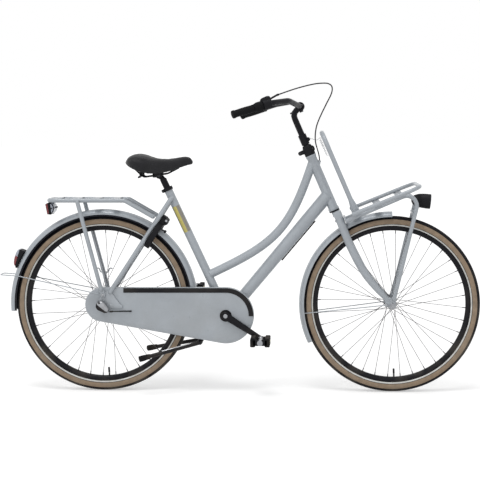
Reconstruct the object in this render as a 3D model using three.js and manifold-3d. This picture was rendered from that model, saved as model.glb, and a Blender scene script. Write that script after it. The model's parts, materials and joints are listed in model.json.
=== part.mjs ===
// A dutch city bike: swan-neck frame, full chain guard, front and rear carriers.
// Millimetres. +X runs forward, +Y to the rider's left, +Z up. The origin is on the
// ground under the middle of the bike.
import * as THREE from 'three';
import { mergeVertices } from 'three/addons/utils/BufferGeometryUtils.js';
import Module from 'manifold-3d';

const wasm = await Module();
wasm.setup();

// Clearances and facet counts shared by all the pieces
const clearance = 0.3;
const runningGap = 0.6;
const overrun = 3;
const mergeTolerance = 0.0001;
const tubeSides = 8;
const rodSides = 6;
const wireSides = 5;
const roundSides = 16;
const wheelSegments = 36;
const hubSegments = 12;
const bendSteps = 3;

// Wheels
const wheelRadius = 358;
const tyreWidth = 47;
const tyreHeight = 41;
const rimDepth = 18;
const rimOuterRadius = wheelRadius - tyreHeight;
const rimInnerRadius = rimOuterRadius - rimDepth;
const rimWidth = 25;
const rimWall = 3;
const beadDepth = 5;
const spokeCount = 36;
const spokeDiameter = 2.2;
const spokeCross = THREE.MathUtils.degToRad(60);
const spokeSink = 4;
const spokeLift = 1.6;
const valveDiameter = 8;
const valveLength = 32;
const rearSpokePhase = THREE.MathUtils.degToRad(8.6);
const frontSpokePhase = THREE.MathUtils.degToRad(7);
const frontFlangeRadius = 19;
const frontFlangeSpread = 34;
const rearFlangeRadius = 34;
const rearFlangeSpread = 29;
const flangeThickness = 3;
const flangeRim = 3;
const hubBarrelRadius = 14;
const gearBarrelRadius = 29;
const frontHubWidth = 100;
const rearHubWidth = 120;
const hubCapRadius = 17;
const hubCapLength = 9;
const axleDiameter = 10;
const axleNutRadius = 8.5;
const axleNutWidth = 8;
const axleNutSides = 6;
const axleStub = 4;
const hubNeckRadius = 11;
const rimShoulderShare = 0.6;
const spokeSides = 3;
const tyreProfileShares = [[1, 0.42], [0.8, 0.84]];
const frontValveAngle = THREE.MathUtils.degToRad(-88);
const rearValveAngle = THREE.MathUtils.degToRad(-86.4);

// Where the wheels, the cranks and the steering stand
const wheelBase = 1173;
const rearAxleX = -554;
const bracketClearance = 144;
const chainStayReach = wheelRadius + bracketClearance;
const bottomBracketDrop = 43;
const seatAngle = THREE.MathUtils.degToRad(25.1);
const seatTubeLength = 568;
const headAngle = THREE.MathUtils.degToRad(23.3);
const crownClearance = 85;
const forkLength = wheelRadius + crownClearance;
const forkRake = 62.9;
const headTubeLength = 241.5;

// Frame tubes
const headTubeDiameter = 40;
const headTubeBore = 33;
const portHeightShare = 0.8;
const portLeanShare = 1.6;
const portDiameter = 11;
const portDepth = 4;
const portStandoff = 14;
const seatTubeDiameter = 34;
const topTubeDiameter = 35;
const topTubeSteps = 12;
const topTubeStartShare = 0.5;
const topTubeSeatHeight = 175;
const topTubeHeadDrop = 24;
const swanNeckShares = [[0.644, 0.274], [0.779, 0.391]];
const downTubeLowDiameter = 46;
const downTubeHighDiameter = 52;
const downTubeHeadHeight = 65;
const downTubeLead = 7;
const bracketShellDiameter = 42;
const bracketShellWidth = 68;
const chainStayDiameter = 16;
const chainStayRootSpread = 30;
const chainStaySpread = 47;
const chainStayRootGap = 16;
const chainStayRingSpread = 35;
const chainStayRingShare = 0.17;
const chainStayClearShare = 0.27;
const chainStayStepShare = 0.85;
const chainStayEndShare = 0.93;
const chainStayFlatShare = 0.75;
const chainStayBridgeShare = 0.13;
const chainStayBridgeDiameter = 12;
const seatStayDiameter = 18;
const seatStayTopDrop = 45;
const seatStayTopSpread = 24;
const seatStayShoulderSpread = 43;
const seatStayShoulderShare = 0.22;
const seatStayBendRadius = 300;
const seatStayBridgeShare = 0.16;
const seatStayBridgeDiameter = 10;
const dropoutThickness = 5;
const dropoutRadius = 17;
const dropoutEyeRadius = 10;
const dropoutEyeForward = 6;
const dropoutEyeHeight = 41;
const eyeBoltDiameter = 6;
const seatStayFootForward = 34;
const seatStayFootHeight = 52;

// Headset, seat clamp and seat
const headsetRingDiameter = 44;
const headsetRingHeight = 6;
const headsetCoverDiameter = 44;
const headsetCoverHeight = 44;
const headsetLugLength = 44;
const headsetLugWidth = 20;
const headsetLobeLength = 27;
const headsetLugShare = 0.42;
const headsetLobeShare = 0.6;
const headsetShoulderShare = 0.7;
const headsetCrownShare = 0.75;
const steererStandoff = 12;
const seatClampDiameter = 42;
const seatClampHeight = 14;
const seatClampBoltDiameter = 9;
const seatClampBoltLength = 34;
const seatClampBoltSetback = 25;
const seatClampRise = 1.5;
const seatPostDiameter = 27.2;
const seatPostExposed = 40;
const seatPostBuried = 130;
const seatTravel = 60;
const seatHeadDiameter = 24;
const seatHeadWidth = 58;
const seatHeadSetback = 14;
const seatHeadRise = 14;
const saddleRailDiameter = 7;
const postNeckShare = 0.8;
const saddleRailSpread = 22;
const saddleLength = 273;
const saddleWidth = 190;
const saddleHeight = 83;
const saddleTailBack = 136;
const saddleBaseRise = 5;
const saddleStationShares = [0, 0.04, 0.1, 0.18, 0.3, 0.45, 0.6, 0.75, 0.88, 0.96, 1];
const saddleTopShares = [0.64, 0.85, 0.96, 1, 0.93, 0.78, 0.75, 0.8, 0.87, 0.82, 0.66];
const saddleBottomShares = [0.52, 0.42, 0.3, 0.18, 0.05, 0, 0.06, 0.2, 0.36, 0.42, 0.48];
const saddleWidthShares = [0.42, 0.72, 0.92, 1, 0.93, 0.62, 0.38, 0.28, 0.25, 0.2, 0.1];
const saddleGrooveShares = [0, 0.05, 0.14, 0.18, 0.14, 0.06, 0.03, 0, 0, 0, 0];
const saddleOutlineShares = [
  [0.3, 1], [0.62, 0.96], [0.86, 0.84], [1, 0.55], [0.96, 0], [0.6, 0.16], [0, 0.2],
];
const railNoseShares = [0.78, 0.31];
const railBendShares = [0.62, 0.04];
const railBackShares = [0.27, -0.13];
const railTailShares = [0.14, 0.3];
const railNoseSpread = 9;
const railTailSpread = 36;
const saddleRailBendRadius = 18;

// Fork, headset parts and stem, along and ahead of the steering axis
const steererDiameter = 28.6;
const steererBore = 22.6;
const crownHeight = 34;
const crownDepth = 34;
const crownSpread = 46;
const bladeTopDiameter = 33;
const bladeSpreadTip = 50;
const bladeShares = [[0.065, 0.1], [0.3, 0.05], [0.505, 0.11], [0.665, 0.25], [0.83, 0.59], [0.945, 0.9]];
const bladeWidthShares = [1, 1, 1, 0.9, 0.79, 0.6];
const bladeWidthShare = 0.72;
const crownRoundShare = 0.25;
const crownLugWidth = 20;
const crownLugThickness = 5;
const stayBoltDiameter = 5;
const forkEndWidth = 22;
const forkEndThickness = 5;
const crownBoltDiameter = 8;
const crownBoltLength = 9;
const crownBoltPitch = 22;
const quillDiameter = 22.2;
const stemDiameter = 24.5;
const stemHeight = 429;
const stemReach = 39.4;
const stemClampHeight = 439;
const stemClampRadius = 18;
const stemClampWidth = 44;
const quillDepth = 120;
const springClampHeight = 44;
const springClampDiameter = 33;
const springClampLift = 46;
const springBallDiameter = 17;

// Handlebar, grips and shifter
const barDiameter = 22.2;
const barBendRadius = 70;
const barBendSpread = 150;
const barBendBack = 31.6;
const barBendRise = 36.5;
const barStraightBack = 95.3;
const barStraightRise = 53;
const barStraightSpread = 236;
const barEndBack = 241.2;
const barEndRise = 68;
const barEndSpread = 297;
const gripWaistShare = 0.84;
const gripSwellShares = [0.15, 0.88];
const gripLeftShare = 0.3;
const gripRightShare = 0.49;
const twistShares = [0.25, 0.48];
const twistTaperShare = 0.7;
const shifterShares = [0.03, 0.24];
const gripDiameter = 30;
const gripEndCapDiameter = 35;
const gripEndCapLength = 8;
const twistDiameter = 38;
const shifterSpoutDiameter = 9;
const shifterSpoutDrop = 6;
const cableDiameter = 5;
const cableSides = 5;
const cableSteps = 28;
const shifterDiameter = 42;
const shifterDisplayHeight = 13;
const shifterDisplayWidth = 30;

// Front carrier, its upright and the spring, along and ahead of the steering axis
const railDiameter = 16;
const railSpread = 180;
const railRearReach = 64;
const railFrontReach = 349;
const railRearDrop = 34;
const railFrontDrop = 40;
const railBendRadius = 55;
const slatWidth = 30;
const slatThickness = 5;
const slatSink = 2;
const slatShares = [0.049, 0.372, 0.709];
const carrierLegDiameter = 17;
const carrierLegSpread = 66;
const carrierLegDrop = 56;
const carrierLegCornerReach = 354;
const carrierLegBendRadius = 40;
const carrierFootLength = 28;
const carrierFootWidth = 22;
const carrierFootThickness = 3;
const crownPlateHeight = 26;
const crownPlateThickness = 7;
const crownPlateDrop = 52.3;
const lampStrapThickness = 3;
const lampStrapHeight = 16;
const uprightDiameter = 19;
const uprightReach = 78;
const uprightSpread = 100;
const uprightTop = 306;
const uprightBendRadius = 60;
const uprightFootWidth = 34;
const uprightFootThickness = 4;
const uprightFootHeight = 50;
const springWire = 1.8;
const springDiameter = 9;
const springTurns = 10;
const springSteps = 8;
const springSides = 5;
const springTop = 284;
const springBottom = 214;
const springSetback = 17;
const uprightCrossDiameter = 8;
const springHookRise = 7;
const springHookReach = 22;
const springKnobHeight = 9;

// Headlamp
const lampDiameter = 60;
const lampLength = 78;
const lampTilt = THREE.MathUtils.degToRad(29.3);
const lampReach = 337;
const lampDrop = 104;
const lampShellShares = [[0, 0], [0.3, 0], [0.52, 0.06], [0.78, 0.24], [0.94, 0.5], [1, 0.72], [1, 1]];
const lampRimDepth = 6;
const lampRimWidth = 3;
const lampFaceShare = 0.5;
const lampStemShare = 0.55;
const lampEarGap = 9.5;
const lampPinReach = 16;
const lensCrown = 1.5;
const lensCrownShare = 0.7;
const lensThickness = 4;
const lampStemWidth = 14;
const lampPivotDiameter = 8;
const lampPivotDrop = 133;
const lampEarWidth = 26;
const lampEarThickness = 3;
const lampEarReach = 12;

// Fenders and their stays
const fenderHalfWidth = 31;
const fenderCrownDepth = 21;
const fenderThickness = 2;
const fenderSectionSteps = 5;
const fenderArcStep = THREE.MathUtils.degToRad(8);
const frontFenderGap = 18;
const rearFenderGap = 27;
const frontFenderStart = THREE.MathUtils.degToRad(66.5);
const frontFenderEnd = THREE.MathUtils.degToRad(181.9);
const rearFenderStart = THREE.MathUtils.degToRad(-12);
const rearFenderEnd = THREE.MathUtils.degToRad(184.8);
const stayDiameter = 4;
const frontStayAngle = THREE.MathUtils.degToRad(162.8);
const stayEyeDiameter = 15;
const stayEyeThickness = 5;
const rearStayStepShare = 0.09;
const frontStayEyeBack = 21;
const frontStayLift = 4;
const frontStayInset = 23.2;
const frontStayBendRadius = 6;
const rearStayAngle = THREE.MathUtils.degToRad(162);
const rearStayLoop = 63.5;
const rearStayReach = wheelRadius + rearStayLoop;
const rearStayRise = 118;
const rearStayBendRadius = 12;

// Rear carrier and what hangs from its end
const deckTubeDiameter = 17;
const deckRise = 65;
const deckHeight = 2 * wheelRadius + deckRise;
const deckEndX = -778;
const deckFrontX = -458;
const deckSpread = 65;
const deckBendRadius = 30;
const deckStrapCount = 4;
const deckStrapWidth = 30;
const deckStrapThickness = 4;
const deckTabLength = 26;
const deckTabThickness = 5;
const deckTabDrop = 10;
const deckFootShare = 0.2206;
const deckFootSetback = 20;
const deckFootSpread = 61.5;
const carrierStrutDiameter = 16.7;
const carrierStrutSpread = 80;
const strutTopShare = 0.597;
const strutLiftShare = 0.05;
const strutTabShare = 0.12;
const strutFootThickness = 4;
const hookShare = 0.2;
const bagHookLength = 34;
const bagHookRod = 5;
const bagHookShares = [
  [[0.55, 0.12], [1, 0.1], [1.12, -0.2], [0.95, -0.4]],
  [[0.3, -0.35], [0.55, -0.75], [0.8, -0.55]],
];
const reflectorHeight = 50;
const reflectorWidth = 84;
const reflectorDepth = 40;
const reflectorOutlineShares = [
  [0.35, 0], [0.8, 0], [0.95, 0.35], [0.7, 0.75], [0.4, 1], [0.1, 0.9], [-0.2, 0.15],
];
const rearLampHeight = 70;
const rearLampWidth = 52;
const rearLampDepth = 27;
const rearLampLensDepth = 14;
const rearLampBevel = 5;
const rearLampAngle = THREE.MathUtils.degToRad(152.4);
const rearLampSeatAngle = THREE.MathUtils.degToRad(6);
const rearLensLean = THREE.MathUtils.degToRad(16.4);
const fenderSeat = 0.9;

// Ring lock on the seat stays
const lockRingRadius = 58;
const lockRingWidth = 19;
const lockThickness = 24;
const lockCrownThickness = 36;
const lockCrownHeight = 92;
const lockCrownWidth = 74;
const lockCrownShoulderShare = 0.8;
const lockSteps = 10;
const lockGapAngle = THREE.MathUtils.degToRad(27);
const lockChannelOverrun = THREE.MathUtils.degToRad(6);
const lockShackleDiameter = 8;
const lockChannelGap = 1.5;
const lockInset = 7.5;
const lockReach = wheelRadius - lockInset;
const lockLeverDiameter = 7;
const lockKnobReach = 16;
const lockKnobLength = 10;
const lockKnobDiameter = 13;
const lockLeverMargin = THREE.MathUtils.degToRad(5);
const lockTravel = THREE.MathUtils.degToRad(62);
const leverAngle = THREE.MathUtils.degToRad(139);
const shackleEndAngle = THREE.MathUtils.degToRad(239);
const shackleSpan = THREE.MathUtils.degToRad(130);

// Drive: chain, guard, cranks and pedals
const chainLine = 45;
const chainPitch = 12.7;
const ringTeeth = 38;
const sprocketTeeth = 19;
const toothThickness = 2.4;
const toothShares = [[0, 0], [0.5, 1]];
const toothHeight = 3.9;
const chainWidth = 8.4;
const chainHeight = 9.4;
const chainSlot = 3.4;
const chainWeb = 2.6;
const toothRoot = 3.4;
const guardFrontRadius = 114;
const guardRearRadius = 70;
const guardInner = 37;
const guardOuter = 58;
const guardWall = 2;
const guardLip = 10;
const guardCrankHole = 23;
const guardAxleHole = 22;
const guardSlotLength = 90;
const guardSlotHeight = 26;
const guardSlotDrop = 4;
const guardArcSteps = 10;
const trimWidth = 19;
const trimEdge = 2;
const trimThickness = 1.6;
const trimRearX = -467;
const trimEndAngle = THREE.MathUtils.degToRad(-1);
const crankLength = 170;
const crankAngle = THREE.MathUtils.degToRad(-32.5);
const crankInner = 62;
const crankThickness = 15;
const crankRootWidth = 32;
const crankTipWidth = 22;
const crankBossRadius = 24;
const crankBossDiameter = 28;
const crankCapThickness = 3;
const spindleDiameter = 17;
const spiderRadius = 30;
const ringWebWidth = 9;
const ringArms = 5;
const ringArmWidth = 16;
const pedalLength = 96;
const pedalDepth = 78;
const pedalHeight = 34;
const pedalTread = 20;
const pedalEnd = 6;
const pedalEndShare = 0.7;
const pedalBarrel = 20;
const pedalGap = 6;
const pedalCapLength = 7;
const pedalCapDiameter = 25;
const pedalAxleDiameter = 9;

// Hub gear box with its cable, the brake arm and the kickstand
const gearBoxLength = 58;
const gearBoxHeight = 40;
const gearBoxWidth = 24;
const gearBoxTilt = THREE.MathUtils.degToRad(-38);
const gearBoxBackShare = 0.34;
const gearBoxNoseShare = 0.7;
const gearRodLead = 4;
const gearRodReach = 120;
const gearRodDrop = 26;
const gearRodKnee = 26;
const lowerCableShares = [0.49, 0.82];
const clipHalfShare = 0.012;
const clipWidth = 14;
const brakeArmInner = 54.2;
const brakeArmLength = 150;
const brakeArmAngle = THREE.MathUtils.degToRad(-26);
const brakeArmWidth = 14;
const brakeArmThickness = 4;
const brakeArmTipShare = 0.75;
const brakeRingRadius = 24;
const brakeClipWall = 2.5;
const brakeClipRunShare = 0.05;
const standPivotBack = 108;
const standPivotDrop = 113;
const standLegDiameter = 14;
const standReach = 227;
const standSpread = 130;
const standRootSpread = 38;
const standFoldAngle = THREE.MathUtils.degToRad(12.7);
const standBarrelDiameter = 22;
const standBarrelHalf = 33;
const standFootDiameter = 24;
const standFootLength = 46;
const standFootBackShare = 0.7;
const standPinDiameter = 12;
const standPlateThickness = 5;
const standPlateLength = 56;
const standStemWidth = 34;

const point = (x, y, z) => new THREE.Vector3(x, y, z);
const side = point(0, 1, 0);
const upward = point(0, 0, 1);

// A closed geometry with shared corners only, its faces pointing out
function closed(geometry) {
  const merged = geometry.userData.merged ? geometry : cornersOnly(geometry);
  const corners = merged.index.array;
  const faces = [];
  let volume = 0;
  const [a, b, c] = [point(0, 0, 0), point(0, 0, 0), point(0, 0, 0)];
  for (let i = 0; i < corners.length; i += 3) {
    const [p, q, r] = [corners[i], corners[i + 1], corners[i + 2]];
    if (p === q || q === r || r === p) continue;
    faces.push(p, q, r);
    a.fromBufferAttribute(merged.attributes.position, p);
    b.fromBufferAttribute(merged.attributes.position, q);
    c.fromBufferAttribute(merged.attributes.position, r);
    volume += a.dot(b.cross(c));
  }
  if (volume < 0) faces.reverse();
  const result = new THREE.BufferGeometry();
  result.setAttribute('position', merged.attributes.position);
  result.setIndex(faces);
  result.userData.merged = true;
  return result;
}

function cornersOnly(geometry) {
  const plain = geometry.clone();
  for (const name of Object.keys(plain.attributes)) {
    if (name !== 'position') plain.deleteAttribute(name);
  }
  return mergeVertices(plain, mergeTolerance);
}

function toManifold(geometry) {
  const { attributes, index } = closed(geometry);
  return new wasm.Manifold(new wasm.Mesh({
    numProp: 3,
    vertProperties: Float32Array.from(attributes.position.array),
    triVerts: Uint32Array.from(index.array),
  }));
}

function fromManifold(manifold) {
  const mesh = manifold.getMesh();
  const geometry = new THREE.BufferGeometry();
  geometry.setAttribute('position', new THREE.Float32BufferAttribute(mesh.vertProperties, 3));
  geometry.setIndex(Array.from(mesh.triVerts));
  geometry.userData.merged = true;
  return geometry;
}

const join = (...parts) => fromManifold(parts.map(toManifold).reduce((whole, part) => whole.add(part)));

function cut(base, ...tools) {
  return fromManifold(tools.map(toManifold).reduce((rest, tool) => rest.subtract(tool), toManifold(base)));
}

// The same geometry on the other side of the bike's middle plane
const mirrored = (geometry) => closed(
  geometry.clone().applyMatrix4(new THREE.Matrix4().makeScale(1, -1, 1)));
const bothSides = (geometry) => join(geometry, mirrored(geometry));

// Stacked rings of equal size, joined into one closed skin with flat ends
function loft(rings, looped = false) {
  const count = rings[0].length;
  const positions = rings.flat().flatMap((p) => [p.x, p.y, p.z]);
  const faces = [];
  const spans = looped ? rings.length : rings.length - 1;
  for (let i = 0; i < spans; i += 1) {
    const next = (i + 1) % rings.length;
    for (let j = 0; j < count; j += 1) {
      const k = (j + 1) % count;
      const [a, b, c, d] = [i * count + j, i * count + k, next * count + k, next * count + j];
      faces.push(a, b, c, a, c, d);
    }
  }
  if (!looped) {
    const flat = endFace(rings[0]);
    const last = (rings.length - 1) * count;
    for (const [a, b, c] of flat) {
      faces.push(a, c, b);
      faces.push(last + a, last + b, last + c);
    }
  }
  const geometry = new THREE.BufferGeometry();
  geometry.setAttribute('position', new THREE.Float32BufferAttribute(positions, 3));
  geometry.setIndex(faces);
  return closed(geometry);
}

// Triangles that close a flat ring, whatever plane it lies in
function endFace(ring) {
  const normal = point(0, 0, 0);
  ring.forEach((p, i) => {
    const q = ring[(i + 1) % ring.length];
    normal.add(p.clone().cross(q));
  });
  normal.normalize();
  const across = Math.abs(normal.y) < Math.SQRT1_2 ? side : upward;
  const u = across.clone().cross(normal).normalize();
  const v = normal.clone().cross(u);
  const outline = ring.map((p) => new THREE.Vector2(p.dot(u), p.dot(v)));
  return THREE.ShapeUtils.triangulateShape(outline, []);
}

// A section drawn as [across, out] pairs, set square to a direction at a place
function sectionAt(place, direction, section) {
  const across = Math.abs(direction.y) < Math.SQRT1_2 ? side : upward;
  const out = across.clone().cross(direction).normalize();
  const lateral = direction.clone().cross(out).normalize();
  return section.map(([s, t]) => place.clone().addScaledVector(lateral, s).addScaledVector(out, t));
}

function circle(radius, sides, flatten = 1) {
  const turn = 2 * Math.PI / sides;
  return Array.from({ length: sides }, (_, i) => {
    const angle = turn * (i + 0.5);
    return [radius * flatten * Math.cos(angle), radius * Math.sin(angle)];
  });
}

// A section carried along a route of straight runs, mitred at each corner
function sweep(route, section, { looped = false, scales = null } = {}) {
  const count = route.length;
  const heading = (i) => route[(i + 1) % count].clone().sub(route[i]).normalize();
  const first = heading(0);
  let ring = sectionAt(route[0], first, section);
  const rings = [];
  for (let i = 0; i < count; i += 1) {
    const inward = i > 0 || looped ? heading((i - 1 + count) % count) : first;
    const outward = i < count - 1 || looped ? heading(i) : inward;
    const plane = inward.clone().add(outward).normalize();
    const along = i === 0 ? outward : inward;
    ring = ring.map((p) => {
      const reach = route[i].clone().sub(p).dot(plane) / along.dot(plane);
      return p.clone().addScaledVector(along, reach);
    });
    const scale = scales ? scales[i] / (i ? scales[i - 1] : scales[0]) : 1;
    if (scale !== 1) ring = ring.map((p) => p.clone().sub(route[i]).multiplyScalar(scale).add(route[i]));
    rings.push(ring);
  }
  return loft(rings, looped);
}

const rod = (from, to, diameter, sides = rodSides) => sweep([from, to], circle(diameter / 2, sides));

// A route whose inner corners are rounded to one radius
function rounded(corners, radius, steps = bendSteps) {
  const route = [corners[0]];
  for (let i = 1; i < corners.length - 1; i += 1) {
    const back = corners[i - 1].clone().sub(corners[i]);
    const on = corners[i + 1].clone().sub(corners[i]);
    const half = back.angleTo(on) / 2;
    const setback = Math.min(radius / Math.tan(half), back.length() / 2, on.length() / 2);
    const bend = setback * Math.tan(half);
    back.normalize();
    on.normalize();
    const inward = back.clone().add(on).normalize();
    const centre = corners[i].clone().addScaledVector(inward, bend / Math.sin(half));
    const start = corners[i].clone().addScaledVector(back, setback).sub(centre);
    const end = corners[i].clone().addScaledVector(on, setback).sub(centre);
    const sweepAngle = start.angleTo(end);
    for (let k = 0; k <= steps; k += 1) {
      const t = k / steps;
      const [p, q] = [Math.sin((1 - t) * sweepAngle), Math.sin(t * sweepAngle)];
      const spoke = start.clone().multiplyScalar(p).addScaledVector(end, q);
      route.push(centre.clone().addScaledVector(spoke, 1 / Math.sin(sweepAngle)));
    }
  }
  route.push(corners[corners.length - 1]);
  return route;
}

// A profile of [radius, along] pairs, closed on itself, turned about an axis
function turned(profile, from = point(0, 0, 0), axis = side, segments = roundSides) {
  const outline = profile.map(([r, along]) => new THREE.Vector2(r, along));
  outline.push(outline[0].clone());
  const geometry = closed(new THREE.LatheGeometry(outline, segments));
  geometry.applyQuaternion(new THREE.Quaternion().setFromUnitVectors(side, axis.clone().normalize()));
  return geometry.translate(from.x, from.y, from.z);
}

const disc = (radius, from, axis, length, segments = roundSides) => turned(
  [[0, 0], [radius, 0], [radius, length], [0, length]], from, axis, segments);

const ringPiece = (outer, inner, from, axis, length, segments = roundSides) => turned(
  [[inner, 0], [outer, 0], [outer, length], [inner, length]], from, axis, segments);

function box(width, depth, height, x, y, z) {
  return closed(new THREE.BoxGeometry(width, depth, height)).translate(x, y, z);
}

// A flat outline in the X-Z plane, given thickness across the bike from y towards +Y
function plate(outline, y, thickness) {
  const shape = new THREE.Shape(outline.map(([x, z]) => new THREE.Vector2(x, z)));
  const geometry = closed(new THREE.ExtrudeGeometry(shape, { depth: thickness, bevelEnabled: false }));
  return geometry.rotateX(Math.PI / 2).translate(0, y + thickness, 0);
}

function arc(x, z, radius, from, to, steps) {
  return Array.from({ length: steps + 1 }, (_, i) => {
    const angle = from + (to - from) * i / steps;
    return [x + radius * Math.cos(angle), z + radius * Math.sin(angle)];
  });
}

// A rounded strip round two places, each with its own radius
function belt(a, radiusA, b, radiusB, steps = guardArcSteps) {
  const run = Math.hypot(b.x - a.x, b.z - a.z);
  const lean = Math.atan2(b.z - a.z, b.x - a.x);
  const open = Math.acos((radiusA - radiusB) / run);
  return [
    ...arc(a.x, a.z, radiusA, lean + open, lean + 2 * Math.PI - open, steps),
    ...arc(b.x, b.z, radiusB, lean - open, lean + open, steps),
  ];
}

// Paints
const paint = (color, roughness, metalness) => new THREE.MeshStandardMaterial(
  { color, roughness, metalness });
const greyLacquer = paint(0xa3adaf, 0.42, 0.1);
const blackLacquer = paint(0x1b1b20, 0.35, 0.1);
const blackPlastic = paint(0x17171a, 0.55, 0);
const blackRubber = paint(0x141416, 0.8, 0);
const silver = paint(0xb9bbbd, 0.35, 0.9);
const darkSteel = paint(0x4a4a4c, 0.4, 0.9);
const redLens = paint(0xb01818, 0.15, 0);
const clearLens = paint(0xdfe3e6, 0.08, 0);

function node(name, geometry, material) {
  const mesh = new THREE.Mesh(closed(geometry), material);
  mesh.name = name;
  return mesh;
}

// Places that the pieces share
const groundZ = 0;
const axleZ = groundZ + wheelRadius;
const rearAxle = point(rearAxleX, 0, axleZ);
const frontAxle = point(rearAxleX + wheelBase, 0, axleZ);
const bottomBracket = point(rearAxleX + chainStayReach, 0, axleZ - bottomBracketDrop);
const seatAxis = point(-Math.sin(seatAngle), 0, Math.cos(seatAngle));
const steerAxis = point(-Math.sin(headAngle), 0, Math.cos(headAngle));
const steerAhead = point(Math.cos(headAngle), 0, Math.sin(headAngle));
const headBase = frontAxle.clone()
  .addScaledVector(steerAhead, -forkRake)
  .addScaledVector(steerAxis, forkLength);
const onSeat = (along, ahead = 0) => bottomBracket.clone()
  .addScaledVector(seatAxis, along)
  .addScaledVector(point(seatAxis.z, 0, -seatAxis.x), ahead);
const onHead = (along, ahead = 0) => headBase.clone()
  .addScaledVector(steerAxis, along)
  .addScaledVector(steerAhead, ahead);
const spread = (place, y) => place.clone().setY(y);

const bike = new THREE.Group();
const steering = new THREE.Group();
steering.position.copy(headBase);
steering.rotation.y = -headAngle;
bike.add(steering);

// Head tube, with a small port for the shift cable on its front
const envelope = (radius) => radius + clearance;
const bored = (radius, sides, gap = clearance) => (radius + gap) / Math.cos(Math.PI / sides);
const headOuter = headTubeDiameter / 2;
const headCut = disc(envelope(headOuter), onHead(-overrun), steerAxis, headTubeLength + 2 * overrun);
const portHeight = headTubeLength * portHeightShare;
const portDirection = steerAhead.clone().addScaledVector(steerAxis, portLeanShare).normalize();
const portFrom = onHead(portHeight, headOuter - portDepth);
bike.add(node('head_tube', cut(
  join(
    ringPiece(headOuter, headTubeBore / 2, onHead(0), steerAxis, headTubeLength),
    disc(portDiameter / 2, portFrom, portDirection, portDepth + portStandoff, rodSides),
  ),
  disc(headTubeBore / 2, onHead(-overrun), steerAxis, headTubeLength + 2 * overrun),
), greyLacquer));

// Bottom bracket shell
bike.add(node('bottom_bracket_shell', ringPiece(
  bracketShellDiameter / 2, envelope(spindleDiameter / 2),
  spread(bottomBracket, -bracketShellWidth / 2), side, bracketShellWidth,
), greyLacquer));
const bracketCut = disc(
  envelope(bracketShellDiameter / 2), spread(bottomBracket, -bracketShellWidth), side,
  2 * bracketShellWidth);

// Seat tube, open at the top for the seat post
const seatOuter = seatTubeDiameter / 2;
const postBore = seatPostDiameter / 2 + clearance;
const boreDepth = seatPostBuried + seatTravel + overrun;
bike.add(node('seat_tube', cut(
  disc(seatOuter, onSeat(0), seatAxis, seatTubeLength, tubeSides),
  bracketCut,
  disc(postBore, onSeat(seatTubeLength - boreDepth), seatAxis, boreDepth + overrun, tubeSides),
), greyLacquer));
const seatCut = disc(envelope(seatOuter), onSeat(0), seatAxis, seatTubeLength, tubeSides);

// Top tube, a swan neck from low on the seat tube to the top of the head tube
const neckFrom = onSeat(topTubeSeatHeight, seatOuter * topTubeStartShare);
const neckTo = onHead(headTubeLength - topTubeHeadDrop);
const neckAt = ([acrossShare, riseShare]) => point(
  neckFrom.x + (neckTo.x - neckFrom.x) * acrossShare, 0,
  neckFrom.z + (neckTo.z - neckFrom.z) * riseShare);
const swanNeck = new THREE.CubicBezierCurve3(neckFrom, ...swanNeckShares.map(neckAt), neckTo);
bike.add(node('top_tube', cut(
  sweep(swanNeck.getSpacedPoints(topTubeSteps), circle(topTubeDiameter / 2, tubeSides)),
  seatCut, headCut,
), greyLacquer));

// Down tube, growing towards the head tube
const downFrom = bottomBracket.clone().setX(bottomBracket.x + downTubeLead);
const downTo = onHead(downTubeHeadHeight);
bike.add(node('down_tube', cut(
  sweep([downFrom, downTo], circle(downTubeLowDiameter / 2, tubeSides), {
    scales: [1, downTubeHighDiameter / downTubeLowDiameter],
  }),
  bracketCut, headCut, seatCut,
), greyLacquer));

// Chain stays with their bridge and dropout plates: they pass inside the chain loop and
// step out through the guard to the dropouts
const dropoutInner = rearHubWidth / 2 + clearance;
const stayEndSpread = dropoutInner + dropoutThickness / 2;
const rearward = rearAxle.clone().sub(bottomBracket);
const onStay = (share, y) => spread(bottomBracket.clone().addScaledVector(rearward, share), y);
const stayRootShare = chainStayRootGap / rearward.length();
const dropoutEye = rearAxle.clone().add(point(dropoutEyeForward, 0, dropoutEyeHeight));
const seatStayFoot = rearAxle.clone().add(point(seatStayFootForward, 0, seatStayFootHeight));
function dropoutPlate(grow) {
  return plate([
    ...arc(rearAxle.x, rearAxle.z, dropoutRadius + grow, Math.PI, 1.75 * Math.PI, bendSteps),
    ...arc(onStay(chainStayStepShare, 0).x, onStay(chainStayStepShare, 0).z, chainStayDiameter / 2 + grow,
      -Math.PI / 2, Math.PI / 2, bendSteps),
    ...arc(seatStayFoot.x, seatStayFoot.z, seatStayDiameter / 2 + grow, -Math.PI / 6, Math.PI / 2,
      bendSteps),
    ...arc(dropoutEye.x, dropoutEye.z, dropoutEyeRadius + grow, Math.PI / 2, Math.PI, bendSteps),
  ], dropoutInner - grow, dropoutThickness + 2 * grow);
}
function dropout() {
  return cut(
    dropoutPlate(0),
    disc(bored(axleDiameter / 2, tubeSides), spread(rearAxle, dropoutInner - overrun), side,
      dropoutThickness + 2 * overrun, tubeSides),
    disc(bored(eyeBoltDiameter / 2, rodSides), spread(dropoutEye, dropoutInner - overrun), side,
      dropoutThickness + 2 * overrun, rodSides),
  );
}
const chainStay = () => join(
  sweep([
    onStay(stayRootShare, chainStayRootSpread),
    onStay(chainStayRingShare, chainStayRingSpread),
    onStay(chainStayClearShare, chainStaySpread),
    onStay(chainStayStepShare, chainStaySpread),
    onStay(chainStayEndShare, stayEndSpread),
  ], circle(chainStayDiameter / 2, tubeSides, chainStayFlatShare)),
  dropout(),
);
const bridgeAt = (y) => onStay(chainStayBridgeShare, y);
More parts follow.
